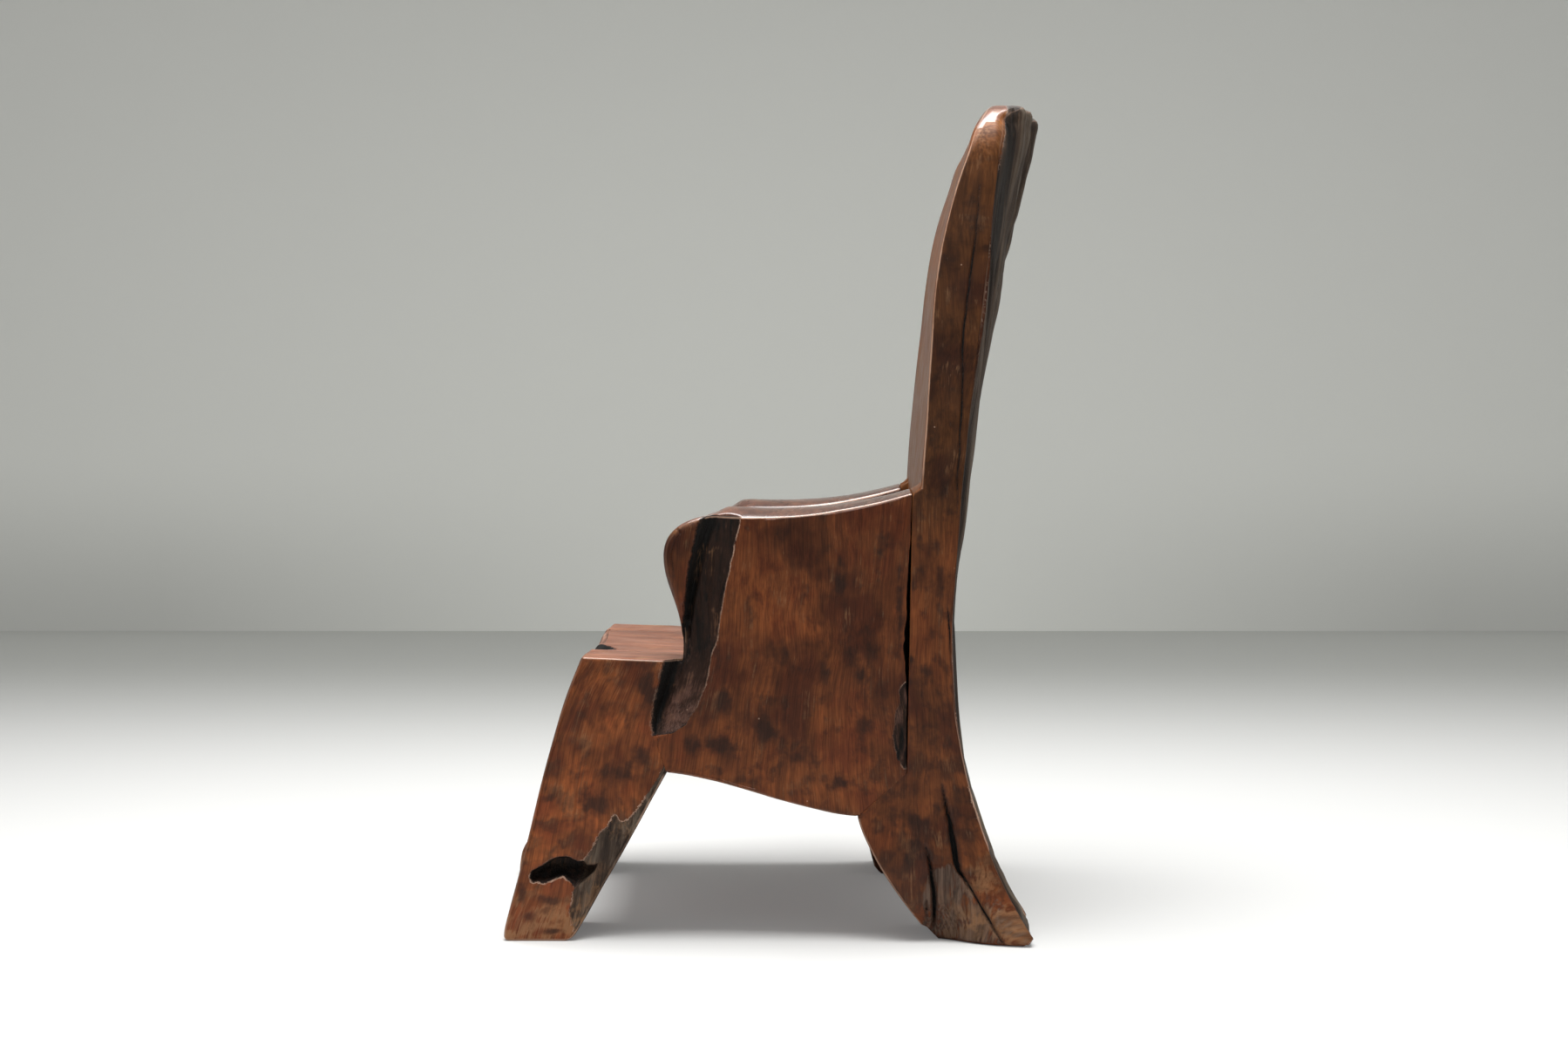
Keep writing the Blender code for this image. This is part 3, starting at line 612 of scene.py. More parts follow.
def foldField(word, y, z):
    # Depth of the fold, distance inside its rim, how light it is drawn and whether a place is behind its
    # valley;
    # the lightness darkens into the valley as painted shade. Across it: a broken step at the front line, down
    # to the valley, a long uneven slope up, then a low step at the rear line. It closes in a round end.
    s = foldSet[word]
    lines = []
    for key in ("front", "valley", "rear"):
        line = foldLine(word, key)[::-1]
        lines.append(np.interp(z, line[:, 1], line[:, 0]))
    front, valley, rear = lines
    before = np.clip((y - front) / np.maximum(valley - front, 0.004), 0, 1)
    slope = np.clip((rear - y) / np.maximum(rear - valley, 0.004), 0, 1)
    within = (y > front) & (y < rear - 0.0002) & (z > s["foot"])
    close = np.sqrt(np.clip((z - s["foot"]) / 0.05, 0, 1))
    deep = s["deep"] * (s["shallow"] + (1 - s["shallow"]) * ease(0.585, 0.50, z))
    rise = s["step"] + (deep - s["step"]) * slope ** 0.85
    place = np.stack([y, y * 0, z], axis=1)
    uneven = 0.0032 * cloud(place, (0.016, 0.016, 0.07), s["seed"] + 2, 3)
    uneven += 0.0022 * cloud(place, 0.013, s["seed"] + 4, 2) * ease(0.42, 0.36, z)
    groove = s["groove"] * np.exp(-((rear - y - 0.0085) / 0.0022) ** 2) * np.exp(-((z - 0.463) / 0.03) ** 2)
    beside = -0.0026 * np.exp(-((y - valley - 0.0085) / 0.0028) ** 2) * ease(0.40, 0.44, z)
    rise = rise + (uneven + groove + beside) * ease(0, 0.007, rear - y)
    depth = close * np.where(y < valley, 0.003 + (deep - 0.003) * before ** 1.3, rise)
    inside = np.minimum(np.minimum((y - front) * 0.5, rear - y), (z - s["foot"]) * 0.7)
    behind = y > valley
    # painted shade: darker on the step before the valley and black along the valley, lighter up the slope to
    # the rear rim; lighter again at the scuffed foot
    light = (0.22 * ease(0.0, 0.4, 1 - slope) + 0.5 * ease(0.42, 0.31, z)) * behind - 0.25 * ~behind
    light = light - 0.9 * np.exp(-((y - valley) / 0.0045) ** 2) * ease(0.29, 0.32, z)
    return np.where(within, np.maximum(depth, 0), 0.0), inside, light, behind


legSet = {
    "left": {"hand": 1, "toe": chair["leftToe"], "skew": 0.0, "bulge": 0.0, "seed": 11},
    "right": {"hand": -1, "toe": chair["rightToe"], "skew": 0.012, "bulge": 0.007, "seed": 47},
    "foot": 0.100, "across": 100, "up": 150, "barkSlope": 0.42, "hollowDeep": 0.026,
    # outlines on the outer face, as (y, z)
    "bark": [(-0.136, 0.250), (-0.1468, 0.2268), (-0.155, 0.214), (-0.168, 0.1925), (-0.180, 0.178),
             (-0.190, 0.168), (-0.200, 0.166), (-0.2075, 0.176), (-0.2115, 0.172), (-0.217, 0.158),
             (-0.2277, 0.150), (-0.232, 0.1414), (-0.2406, 0.1238), (-0.250, 0.112), (-0.252, 0.090),
             (-0.264, 0.071), (-0.266, 0.053), (-0.270, 0.041), (-0.268, 0.027), (-0.261, 0.006),
             (-0.258, -0.01), (-0.20, -0.01), (-0.08, 0.250), (-0.136, 0.250)],
    "hollow": [(-0.326, 0.088), (-0.323, 0.097), (-0.308, 0.105), (-0.296, 0.113), (-0.285, 0.117),
               (-0.272, 0.117), (-0.258, 0.111), (-0.251, 0.112), (-0.245, 0.105), (-0.231, 0.106),
               (-0.236, 0.093), (-0.246, 0.084), (-0.258, 0.075), (-0.263, 0.072), (-0.268, 0.080),
               (-0.279, 0.089), (-0.289, 0.085), (-0.304, 0.078), (-0.314, 0.081), (-0.322, 0.080),
               (-0.326, 0.088)],
    "stains": [(-0.215, 0.30, 0.02, 0.03, 0.4), (-0.16, 0.35, 0.015, 0.05, 0.7),
               (-0.20, 0.235, 0.03, 0.025, 0.7), (-0.235, 0.19, 0.03, 0.02, 0.7),
               (-0.27, 0.155, 0.03, 0.015, 0.4), (-0.30, 0.20, 0.012, 0.03, 0.4),
               (-0.300, 0.058, 0.028, 0.010, 0.6), (-0.325, 0.034, 0.012, 0.010, 0.6),
               (-0.295, 0.013, 0.025, 0.006, 0.7), (-0.335, 0.065, 0.008, 0.02, 0.6),
               (-0.19, 0.30, 0.008, 0.03, 0.5), (-0.172, 0.255, 0.02, 0.02, 0.6)],
}


def frontLeg(word):
    # A leaning block: the outline from toe to seat carried across the leg's thickness, less the depth of the
    # natural strip, the hollow and the fold on its outer face.
    s, c = legSet[word], chair
    hand, toe, seed = s["hand"], s["toe"], s["seed"]
    heel, topEdge = toe + legSet["foot"], seatZ(c["legTop"])
    z = np.linspace(0, c["seatHeight"], 120)
    bottom = evenly(legSet["across"], [(toe, 0), (heel, 0)])
    lead = frontLineY(z, toe) - s["skew"] * (z / c["seatHeight"]) ** 2
    lead = lead - s["bulge"] * np.exp(-((z - 0.04) / 0.022) ** 2)
    left = evenly(legSet["up"], np.stack([lead, z], axis=1))
    right = evenly(legSet["up"], [(heel, 0), c["archFront"], c["legSeam"], (c["legTop"], topEdge)])
    top = evenly(legSet["across"], [left[-1], (c["legTop"], topEdge)])
    inner = c["spread"] / 2 - c["leg"]

    def rounding(ring, side):
        # uneven edge radii, small at foot and top, almost none in the joint
        r = 0.0055 + 0.002 * cloud(np.c_[ring, ring[:, :1]], 0.05, seed)
        r = np.where(side == 0, 0.004, np.where(side == 2, 0.0045, r))
        r = np.where((side == 1) & (ring[:, 1] > c["archFront"][1]), 0.0006, r)
        return r, r

    def place(part):
        # straight across from the outer face to the inner one
        y, z, share = part["a"], part["b"], part["share"]
        return np.stack([hand * (outerX(z) + (inner - outerX(z)) * share), y, z], axis=1)

    def thick(y, z):
        return outerX(z) - inner

    bark = ragged(legSet["bark"], 0.003, 0.0022, 0.012, seed + 7)
    hollowLine = ragged(legSet["hollow"], 0.0025, 0.0009, 0.008, seed + 9)
    part = slab((bottom, right, top, left), rounding, thick, place, middle=30, flip=hand < 0, footRound=70)
    if hand > 0:
        snap(part, bark, 0.0007)
        snap(part, hollowLine, 0.0007)
        part["verts"] = place(part)
    p, n, z, side, share = part["verts"], part["normals"], part["b"], part["side"], part["share"]
    y = part["a"] - (toe - c["leftToe"]) * (1 - np.clip(z / 0.25, 0, 1))
    joint = (side == 1) & (z > c["archFront"][1])
    wave = hewnWave(p)
    moved = p + n * np.where(joint, 0, wave)[:, None]
    moved[:, 0] += np.where(joint, hand * wave * (1 - 2 * share), 0)
    outer = share < 0.5
    natural = regionField(y, z, bark)
    depth = ease(0, 0.002, natural) * 0.0018 + legSet["barkSlope"] * np.clip(natural, 0, 0.05)
    depth += ease(0, 0.006, natural) * 0.003 * cloud(p, (0.012, 0.012, 0.06), seed + 3, 3)
    hollow, inFold, light = np.full(len(p), -0.03), np.full(len(p), -0.03), np.zeros(len(p))
    if hand > 0:
        hollow = regionField(y, z, hollowLine)
        depth += legSet["hollowDeep"] * ease(0.0, 0.005, hollow) * (0.3 + 0.7 * ease(0.074, 0.106, z))
        foldDeep, inFold, light = foldField(word, y, z)[:3]
        depth = np.maximum(depth, foldDeep)
    pressIn(moved, outer & (depth > 0.0001), hand, outerX(z) + wave - depth)
    moved[:, 2] = np.where(z < 0.0005, 0.0, np.maximum(moved[:, 2], 0.0))
    part["verts"] = moved
    outward = ease(0.2, 0.7, hand * n[:, 0])
    up = ease(0.5, 0.9, n[:, 2]) * ease(0.3, 0.36, z)
    buried = share * (outerX(z) - inner) > depth + 0.004
    natural = np.where((outer | (side == 1)) & (up < 0.3), natural, -0.02)
    lip = (np.abs(hollow) < 0.006) * ease(0.096, 0.088, z)
    rub = 0.2 + 0.8 * up + 0.7 * ease(0.03, 0.0, z) + lip + 0.5 * (np.abs(natural) < 0.004)
    rub = rub + 0.6 * (z > 0.16) * (z < c["archFront"][1]) * ease(-0.23, -0.20, y)
    closed = lineField(part["a"], z, [c["archFront"], c["legSeam"], (c["legTop"], topEdge)])[0]
    # inside the hollow the upper part under its brow is painted dark as painted shade
    warm = np.where(hollow > 0, 0.45 * ease(0.095, 0.08, z) - 0.2, 0.35 * outward)
    fields = {
        "edge": part["edge"] + 0.03 * joint,
        "rub": np.clip(rub, 0, 1) * ease(0.003, 0.008, closed),
        "natural": natural,
        "fold": np.where(outer & ~buried, np.maximum(inFold, hollow), -0.02),
        "warm": np.where(inFold > 0, light, warm),
        "spots": 0.3 + 0.4 * ease(0.30, 0.10, z) * ease(0.03, 0.09, z),
        "stain": 1.35 * blobs(y, z, legSet["stains"]) * outward,
        "tan": (0.16 + (0.3 + 0.32 * outward) * ease(0.11, 0.01, z)) * (hollow < 0),
        "polish": up,
        "tone": np.where(up > 0.3, 1.35, sideTone(y, z) - 0.25 * ease(0.3, 0.8, -n[:, 1])),
        "flow": grainFlow(y, z),
    }
    piece = pieceFrom(f"{word}_leg_timber", part, fields, (sideWood, seatWood))
    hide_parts(f"{word}_front_leg")


for word in ("left", "right"):
    frontLeg(word)


panelSet = {
    "left": {"hand": 1, "seed": 21, "slide": (0.0, 0.0), "gape": 1.0, "droop": 0.0},
    "right": {"hand": -1, "seed": 63, "slide": (0.045, 0.03), "gape": 0.3, "droop": 0.007},
    "nose": (-0.141, 0.532), "neck": 0.006, "armTop": -0.070, "across": 165, "up": 190,
    "border": 0.014, "domeWide": 0.97, "domePower": 2.0,
    # places where the wood glows warmer, as (y, z, half width, half height, strength)
    "glow": [(-0.03, 0.46, 0.06, 0.14, 0.9), (0.07, 0.45, 0.03, 0.12, 0.5), (0.03, 0.22, 0.10, 0.03, 0.7)],
    # the check between panel and back: how wide it stands at these heights
    "checkZ": [0.233, 0.250, 0.300, 0.347, 0.360, 0.383, 0.405, 0.430, 0.480, 0.515, 0.540, 0.575, 0.630],
    "checkOpen": [0.0004, 0.0014, 0.0022, 0.0030, 0.0042, 0.0070, 0.0080, 0.0064, 0.0050, 0.0036, 0.0024,
                  0.0012, 0.0004],
    "chip": [(0.192, 0.358), (0.184, 0.347), (0.186, 0.333), (0.179, 0.318), (0.178, 0.300),
             (0.176, 0.282), (0.181, 0.262), (0.186, 0.243), (0.192, 0.238), (0.21, 0.238), (0.21, 0.358),
             (0.192, 0.358)],
    "stains": [(-0.002, 0.294, 0.015, 0.018, 1.0), (0.104, 0.495, 0.010, 0.045, 0.6),
               (0.082, 0.382, 0.010, 0.025, 0.7), (-0.055, 0.335, 0.012, 0.03, 0.6),
               (-0.06, 0.27, 0.02, 0.02, 0.7), (-0.10, 0.27, 0.015, 0.02, 0.7),
               (0.05, 0.25, 0.03, 0.02, 0.5), (0.10, 0.22, 0.03, 0.02, 0.6),
               (0.02, 0.40, 0.02, 0.04, 0.45), (0.13, 0.40, 0.03, 0.05, 0.5),
               (0.16, 0.55, 0.02, 0.03, 0.45), (0.14, 0.30, 0.02, 0.03, 0.6),
               (-0.02, 0.46, 0.014, 0.04, 0.35), (0.02, 0.56, 0.03, 0.02, 0.4),
               (0.185, 0.45, 0.008, 0.12, 0.5)],
}


def sidePanel(word):
    # The outline of arch, joint, arm top and arm front carried across the panel's thickness, less the depth
    # of the fold and of the broken strip on its outer face.
    s, c = panelSet[word], chair
    hand, seed, gap = s["hand"], s["seed"], c["gap"]
    root = (c["legTop"] + gap, seatZ(c["legTop"]))
    nose, start = panelSet["nose"], (panelSet["armTop"], c["armFront"])
    end = (seamY(c["armRear"]) - gap, c["armRear"])
    rise, lift, reach = (nose[1] - root[1]) / 3, (start[1] - nose[1]) * 0.6, (start[0] - nose[0]) * 0.6
    lobe = curve(root, (root[0] + panelSet["neck"], root[1] + rise * 1.5), (nose[0], nose[1] - rise), nose)
    bend = curve(nose, (nose[0], nose[1] + lift), (start[0] - reach, start[1]), start)
    run = (end[0] - start[0]) / 3
    armTop = curve(start, (start[0] + run, start[1] - 0.006), (end[0] - run, end[1] - 0.028), end)
    front = (c["archFront"][0] + gap, c["archFront"][1])
    rear = (c["archRear"][0] - gap, c["archRear"][1] + gap)
    third = (rear[0] - front[0]) / 3
    arch = curve(front, (front[0] + third, front[1] - 0.008), (rear[0] - third, rear[1] + 0.006), rear)
    knee = (c["knee"][0] - gap, c["knee"][1] + gap)

    def nearFold(y, z):
        return 1 + 0.8 * ease(0.0, -0.03, y)

    bottom = evenly(panelSet["across"], arch, [knee], weight=nearFold)
    right = evenly(panelSet["up"], [knee, end])
    left = evenly(panelSet["up"], [front, (c["legSeam"][0] + gap, c["legSeam"][1]), root], lobe, bend[:20])
    top = evenly(panelSet["across"], bend[19:], armTop, weight=nearFold)
    inner = c["spread"] / 2 - c["panel"]

    def isJoint(y, z, side):
        return (side == 1) | ((side == 3) & (z < root[1])) | ((side == 0) & (y > c["archRear"][0]))

    def rounding(ring, side):
        # uneven edge radii, fuller round the arm's front, almost none in the joints
        y, z = ring[:, 0], ring[:, 1]
        r = 0.0045 + 0.0015 * cloud(np.c_[ring, y], 0.05, seed)
        r = np.where(side == 2, 0.0028, r)
        lobeRim = ((side == 3) | (side == 2)) * ease(root[1], root[1] + 0.05, z) * ease(-0.065, -0.10, y)
        r = np.where(isJoint(y, z, side), 0.0006, r + 0.008 * lobeRim)
        return r, r + 0.004 * (side == 2)

    def place(part):
        # the arm's top is a dome between two flat borders, highest near its front
        y, z, share, side = (part[k] for k in ("a", "b", "share", "side"))
        across = np.clip((share - panelSet["border"]) / panelSet["domeWide"], 0, 1)
        dome = c["crown"] * (1 - np.abs(2 * across - 1) ** panelSet["domePower"])
        onTop = ease(-0.084, -0.047, y) * (1 - (1 - c["crownRear"]) * ease(start[0], end[0], y))
        raised = np.where((side == 2) | ((side == 3) & (z > nose[1])), dome * onTop, 0.0)
        raised = raised - s["droop"] * ease(-0.03, -0.09, y) * ease(0.45, 0.57, z)
        return np.stack([hand * (outerX(z) + (inner - outerX(z)) * share), y, z + raised], axis=1)

    def thick(y, z):
        return outerX(z) - inner

    part = slab((bottom, right, top, left), rounding, thick, place, middle=26, flip=hand < 0)
    snap(part, foldLine(word, "rear"), 0.0010)
    part["verts"] = place(part)
    p, n, y, z = part["verts"], part["normals"], part["a"], part["b"]
    side, share = part["side"], part["share"]
    joint = isJoint(y, z, side)
    wave = hewnWave(p)
    moved = p + n * np.where(joint, 0, wave)[:, None]
    moved[:, 0] += np.where(joint, hand * wave * (1 - 2 * share), 0)
    outer = share < 0.5
    depth, inFold, light, behind = foldField(word, y, z)
    pressIn(moved, outer & (depth > 0.0001), hand, outerX(z) + wave - depth)
    # the check: the panel's rear edge stands off from the back, widest at the face, with a broken lower part
    level = np.stack([z, z * 0, z * 0], axis=1)
    gape = np.interp(z, panelSet["checkZ"], panelSet["checkOpen"]) * s["gape"]
    gape = gape * (1 + 0.5 * cloud(level, 0.022, seed + 2, 3)) * np.clip(1 - share / 0.45, 0, 1)
    edgeY = seamY(z) - gap - gape
    atEdge = outer & (z > knee[1]) & (y > 0.15)
    moved[:, 1] = np.where(atEdge, np.minimum(moved[:, 1], edgeY), moved[:, 1])
    chip = np.full(len(p), -0.03)
    if hand > 0:
        chip = regionField(y, z, ragged(panelSet["chip"], 0.002, 0.0032, 0.009, seed + 6))
    flakes = cloud(p, (0.006, 0.006, 0.03), seed + 8, 2)
    chipDeep = 0.0025 * ease(0, 0.003, chip) + 0.12 * np.clip(chip, 0, 0.02)
    chipDeep = chipDeep + 0.0030 * flakes * (chip > 0.001)
    pressIn(moved, outer & (chip > 0), hand, outerX(z) - chipDeep)
    part["verts"] = moved
    outward = ease(0.2, 0.7, hand * n[:, 0]) * outer
    up = ease(0.3, 0.8, n[:, 2]) * ease(0.5, 0.56, z)
    buried = (share * (outerX(z) - inner) > depth + 0.004) | (p[:, 2] - z > 0.0012)
    rimmed = 0.6 * (np.abs(inFold) < 0.005) * ease(0.31, 0.36, z)
    rub = 0.1 + 0.9 * ease(0.50, 0.56, z) * (y > -0.10) + 0.7 * rimmed + 0.25 * (z < 0.25)
    rub = rub + 0.8 * (y > 0.17) * ease(0.345, 0.365, z) * ease(0.56, 0.50, z)
    atLeg = lineField(y, z, [c["archFront"], c["legSeam"], root])[0]
    atBack = lineField(y, z, [c["archRear"], knee])[0]
    rub = np.clip(rub, 0, 1) * ease(0.003, 0.008, np.minimum(atLeg, atBack))
    slide = s["slide"]
    warm = np.where(chip > 0, 0.12 - 1.3 * flakes, blobs(y, z, panelSet["glow"]) * outward)
    fields = {
        "edge": part["edge"] + 0.03 * joint,
        "rub": np.where((inFold > -0.006) & ~behind & (z < 0.583), 0.0, rub),
        "fold": np.where(outer & ~buried, np.maximum(inFold, chip), -0.02),
        # the panel's face against the back, seen down the open check, is painted near black as painted shade
        "crack": np.where((side == 1) & (z > knee[1]), -0.003, 0.02),
        "warm": np.where(inFold > 0, light, warm),
        "spots": 0.6 * np.exp(-((z - 0.26) / 0.06) ** 2) - 0.3 * ease(0.4, 0.5, z),
        "stain": 1.3 * blobs(y - slide[0], z - slide[1], panelSet["stains"]) * outward,
        "polish": np.maximum(up, 0.6 * (share == 1)),
        # the arm's top is painted lighter towards its front as painted highlight
        "tone": np.where(up > 0.3, 1.0 + 0.4 * ease(0.0, -0.06, y), sideTone(y, z)),
        "flow": grainFlow(y, z),
    }
    piece = pieceFrom(f"{word}_panel_timber", part, fields, (sideWood, polishedWood))
    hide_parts(f"{word}_side_panel")


for word in ("left", "right"):
    sidePanel(word)


seatSet = {
    "seed": 31, "across": 180, "along": 180, "dish": 0.004,
    # outline of the crevice in the front edge, as (x, y)
    "crevice": [(0.189, -0.29), (0.189, -0.224), (0.180, -0.219), (0.168, -0.217), (0.150, -0.221),
                (0.128, -0.227), (0.106, -0.236), (0.084, -0.250), (0.078, -0.29), (0.189, -0.29)],
    "creviceMiddle": 0.160, "creviceDeep": 0.050,
    # how far the far front corner stands forward
    "skew": 0.012,
}


def seatSlab():
    # The outline between legs and panels carried down by the thickness, less a shallow bell-shaped dish and
    # the crevice's depth.
    s, c = seatSet, chair
    seed, gap = s["seed"], c["gap"]
    frontHalf, rearHalf = c["spread"] / 2 - c["leg"] - gap, c["spread"] / 2 - c["panel"] - gap
    front, notch, rear = c["seatFront"], c["legTop"] + gap, seamY(c["seatHeight"]) - gap
    bottom = evenly(s["across"], [(-frontHalf, front), (frontHalf, front)])
    top = evenly(s["across"], [(-rearHalf, rear), (rearHalf, rear)])
    right = evenly(s["along"], [(frontHalf, front), (frontHalf, notch), (rearHalf, notch), (rearHalf, rear)])
    left = right * (-1, 1)

    def rounding(ring, side):
        # a full front edge, almost none in the joints
        r = np.where(side == 0, 0.008 + 0.002 * cloud(np.c_[ring, ring[:, :1]], 0.06, seed), 0.0008)
        return r, r

    def place(part):
        # the front edge follows the line of the legs below it
        x, y, share = part["a"], part["b"], part["share"]
        lower = c["seatHeight"] - c["seatThick"] * share
        slide = frontLineY(lower, c["leftToe"]) - front - s["skew"] * ease(0.06, -0.19, x)
        slide = slide * ease(0.10, 0.0, y - front)
        return np.stack([x, y + slide, seatZ(y) - c["seatThick"] * share], axis=1)

    def thick(x, y):
        return np.full(len(x), c["seatThick"])

    part = slab((bottom, right, top, left), rounding, thick, place, arcs=5, middle=16)
    p, n, x, y = part["verts"], part["normals"], part["a"], part["b"]
    side, share = part["side"], part["share"]
    joint = side > 0
    moved = p + n * np.where(joint, 0, hewnWave(p))[:, None]
    moved[:, 2] -= s["dish"] * np.exp(-((x / 0.16) ** 2 + (y / 0.16) ** 2)) * (share < 0.5)
    # the crevice is open at the front edge and narrows downwards
    low = np.clip(share / 0.7, 0, 1)
    drawn = s["creviceMiddle"] + (x - s["creviceMiddle"]) / (1 - 0.6 * low)
    crevice = regionField(drawn, y - 0.02 * low, ragged(s["crevice"], 0.003, 0.0035, 0.014, seed + 3))
    opened = ((share == 0) | (side == 0)) & (share < 0.6)
    crevice = np.where(opened, crevice, -0.02)
    torn = 0.22 + 0.78 * ease(0.085, 0.168, x) + 0.25 * cloud(p, (0.018, 0.03, 0.03), seed + 5, 2)
    floor = seatZ(y) - s["creviceDeep"] * ease(0.0, 0.012, crevice) ** 0.7 * np.maximum(torn, 0.18)
    moved[:, 2] = np.where(crevice > 0, np.minimum(moved[:, 2], floor), moved[:, 2])
    part["verts"] = moved
    up = ease(0.4, 0.9, n[:, 2]) * (crevice < 0)
    fields = {
        "edge": part["edge"] + 0.03 * joint,
        "rub": (0.7 * (side == 0) + 0.1) * (crevice < -0.004),
        "fold": np.clip(crevice, -0.02, 0.02),
        # inside the crevice the fold colours paint it near black as painted shade, darkest near its rim
        "warm": np.where(crevice > 0, 0.5 * ease(0.004, 0.02, crevice) - 0.35, 0.4),
        "polish": up,
        "tone": 1.12 - 0.15 * ease(-0.1, -0.25, x),
        "flow": y,
    }
    piece = pieceFrom("seat_timber", part, fields, (seatWood,))
    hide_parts("seat")


seatSlab()


backSet = {
    "height": 1.166, "topWidth": 0.540, "ledge": 0.012, "frontLean": 0.068, "bendZ": 0.870,
    "bendRadius": 0.720, "hollow": 0.010, "waistBulge": 0.012, "crestBulge": 0.057, "shoulderHigh": 0.085,
    "shoulderWide": 0.095, "leftToe": 0.232, "rightToe": 0.165, "splay": 0.022, "archWide": 0.400,
    "archHigh": 0.250, "heelWorn": 0.014, "flute": 0.004, "flutes": 6, "seed": 81, "across": 110, "up": 240,
    "corner": 0.245, "furrow": 0.006, "fibres": 0.0022, "broad": 0.004,
    "heelOut": 0.014, "toeIn": 0.012, "toeTuck": 0.030, "rightHeel": 0.022,
    # cracks: line as (y, z), half widths at even steps along it, depth
    "cracks": [
        ([(0.300, 1.075), (0.297, 1.043), (0.290, 0.968), (0.282, 0.913), (0.273, 0.822), (0.272, 0.779),
          (0.264, 0.623), (0.262, 0.56)], (0.0, 0.0006, 0.0008, 0.0010, 0.0008, 0.0009, 0.0005, 0.0), 0.004),
        ([(0.244, 0.225), (0.247, 0.205), (0.2516, 0.179), (0.256, 0.152), (0.260, 0.131), (0.2624, 0.113),
          (0.266, 0.100), (0.271, 0.092)],
         (0.0, 0.0005, 0.0010, 0.0016, 0.0024, 0.0034, 0.0038, 0.0030, 0.0006), 0.012),
        ([(0.268, 0.098), (0.275, 0.087), (0.284, 0.074), (0.296, 0.052), (0.308, 0.032), (0.332, -0.006)],
         (0.0016, 0.0016, 0.0010, 0.0014, 0.0010, 0.0007), 0.006),
        ([(0.219, 0.142), (0.223, 0.124), (0.228, 0.100), (0.231, 0.077), (0.2325, 0.055), (0.233, 0.020)],
         (0.0, 0.0008, 0.0018, 0.0026, 0.0028, 0.0020, 0.0006), 0.011),
        ([(0.2225, 0.064), (0.2225, 0.045), (0.224, 0.027)], (0.0, 0.0012, 0.0), 0.006),
        ([(0.243, 0.050), (0.243, 0.030), (0.241, 0.008)], (0.0, 0.0009, 0.0), 0.004),
        ([(0.249, 0.470), (0.252, 0.440), (0.256, 0.395), (0.258, 0.36)], (0.0, 0.0010, 0.0008, 0.0), 0.003),
    ],
    "cracksRight": [
        ([(0.285, 1.02), (0.278, 0.90), (0.262, 0.76), (0.258, 0.66)], (0.0, 0.0014, 0.001, 0.0), 0.005),
        ([(0.240, 0.30), (0.246, 0.20), (0.262, 0.10), (0.290, 0.0)], (0.0, 0.001, 0.003, 0.002), 0.010),
        ([(0.205, 0.14), (0.215, 0.08), (0.222, 0.02)], (0.0, 0.0018, 0.0), 0.006),
    ],
    "tans": [(0.285, 0.020, 0.022, 0.028, 0.6), (0.335, 0.03, 0.03, 0.035, 0.6),
             (0.20, 0.09, 0.012, 0.05, 0.55), (0.258, 0.012, 0.02, 0.02, 0.4),
             (0.24, 0.14, 0.010, 0.03, 0.5), (0.30, 0.09, 0.02, 0.04, 0.45)],
    # grey dry wedge between the cracks of the left foot, and dry strands at its heel
    "weathered": [(0.2144, 0.070), (0.219, 0.082), (0.226, 0.096), (0.230, 0.108), (0.240, 0.108),
                  (0.254, 0.114), (0.2612, 0.112), (0.271, 0.092), (0.284, 0.074), (0.296, 0.052),
                  (0.308, 0.032), (0.326, 0.004), (0.326, -0.01), (0.22, -0.01), (0.2144, 0.070)],
    "strands": [(0.268, 0.128), (0.276, 0.112), (0.288, 0.094), (0.300, 0.078), (0.330, 0.060),
                (0.350, 0.036), (0.362, 0.012), (0.36, -0.01), (0.334, -0.01), (0.306, 0.032),
                (0.286, 0.070), (0.268, 0.128)],
    "stains": [(0.236, 0.49, 0.012, 0.05, 0.6), (0.222, 0.375, 0.012, 0.012, 0.8),
               (0.2015, 0.389, 0.006, 0.007, 1.2), (0.217, 0.345, 0.006, 0.02, 0.6),
               (0.205, 0.17, 0.02, 0.02, 0.8), (0.195, 0.11, 0.012, 0.02, 0.9),
               (0.225, 0.20, 0.012, 0.03, 0.6), (0.25, 0.28, 0.012, 0.03, 0.4),
               (0.235, 0.72, 0.01, 0.05, 0.5), (0.26, 0.95, 0.01, 0.06, 0.4),
               (0.245, 0.62, 0.01, 0.04, 0.5), (0.265, 0.072, 0.008, 0.022, 1.1),
               (0.258, 0.035, 0.005, 0.02, 0.8), (0.208, 0.135, 0.012, 0.012, 1.0),
               (0.222, 0.165, 0.010, 0.012, 0.9), (0.236, 0.185, 0.010, 0.015, 0.8)],
}


def halfWidth(z):
    # splayed below the knee, straight to the arms, narrowing to the shoulders, then a quarter ellipse
    b, c = backSet, chair
    shoulder = b["height"] - b["shoulderHigh"]
    half = outerX(z) + b["splay"] * np.clip(1 - z / c["knee"][1], 0, 1) ** 2
    narrow = np.clip((z - ledgeTop) / (shoulder - ledgeTop), 0, 1)
    half = np.where(z > ledgeTop, outerX(ledgeTop) + (b["topWidth"] / 2 - outerX(ledgeTop)) * narrow, half)
    t = np.clip((z - shoulder) / b["shoulderHigh"], 0, 1)
    return half - b["shoulderWide"] * (1 - np.sqrt(1 - t * t))


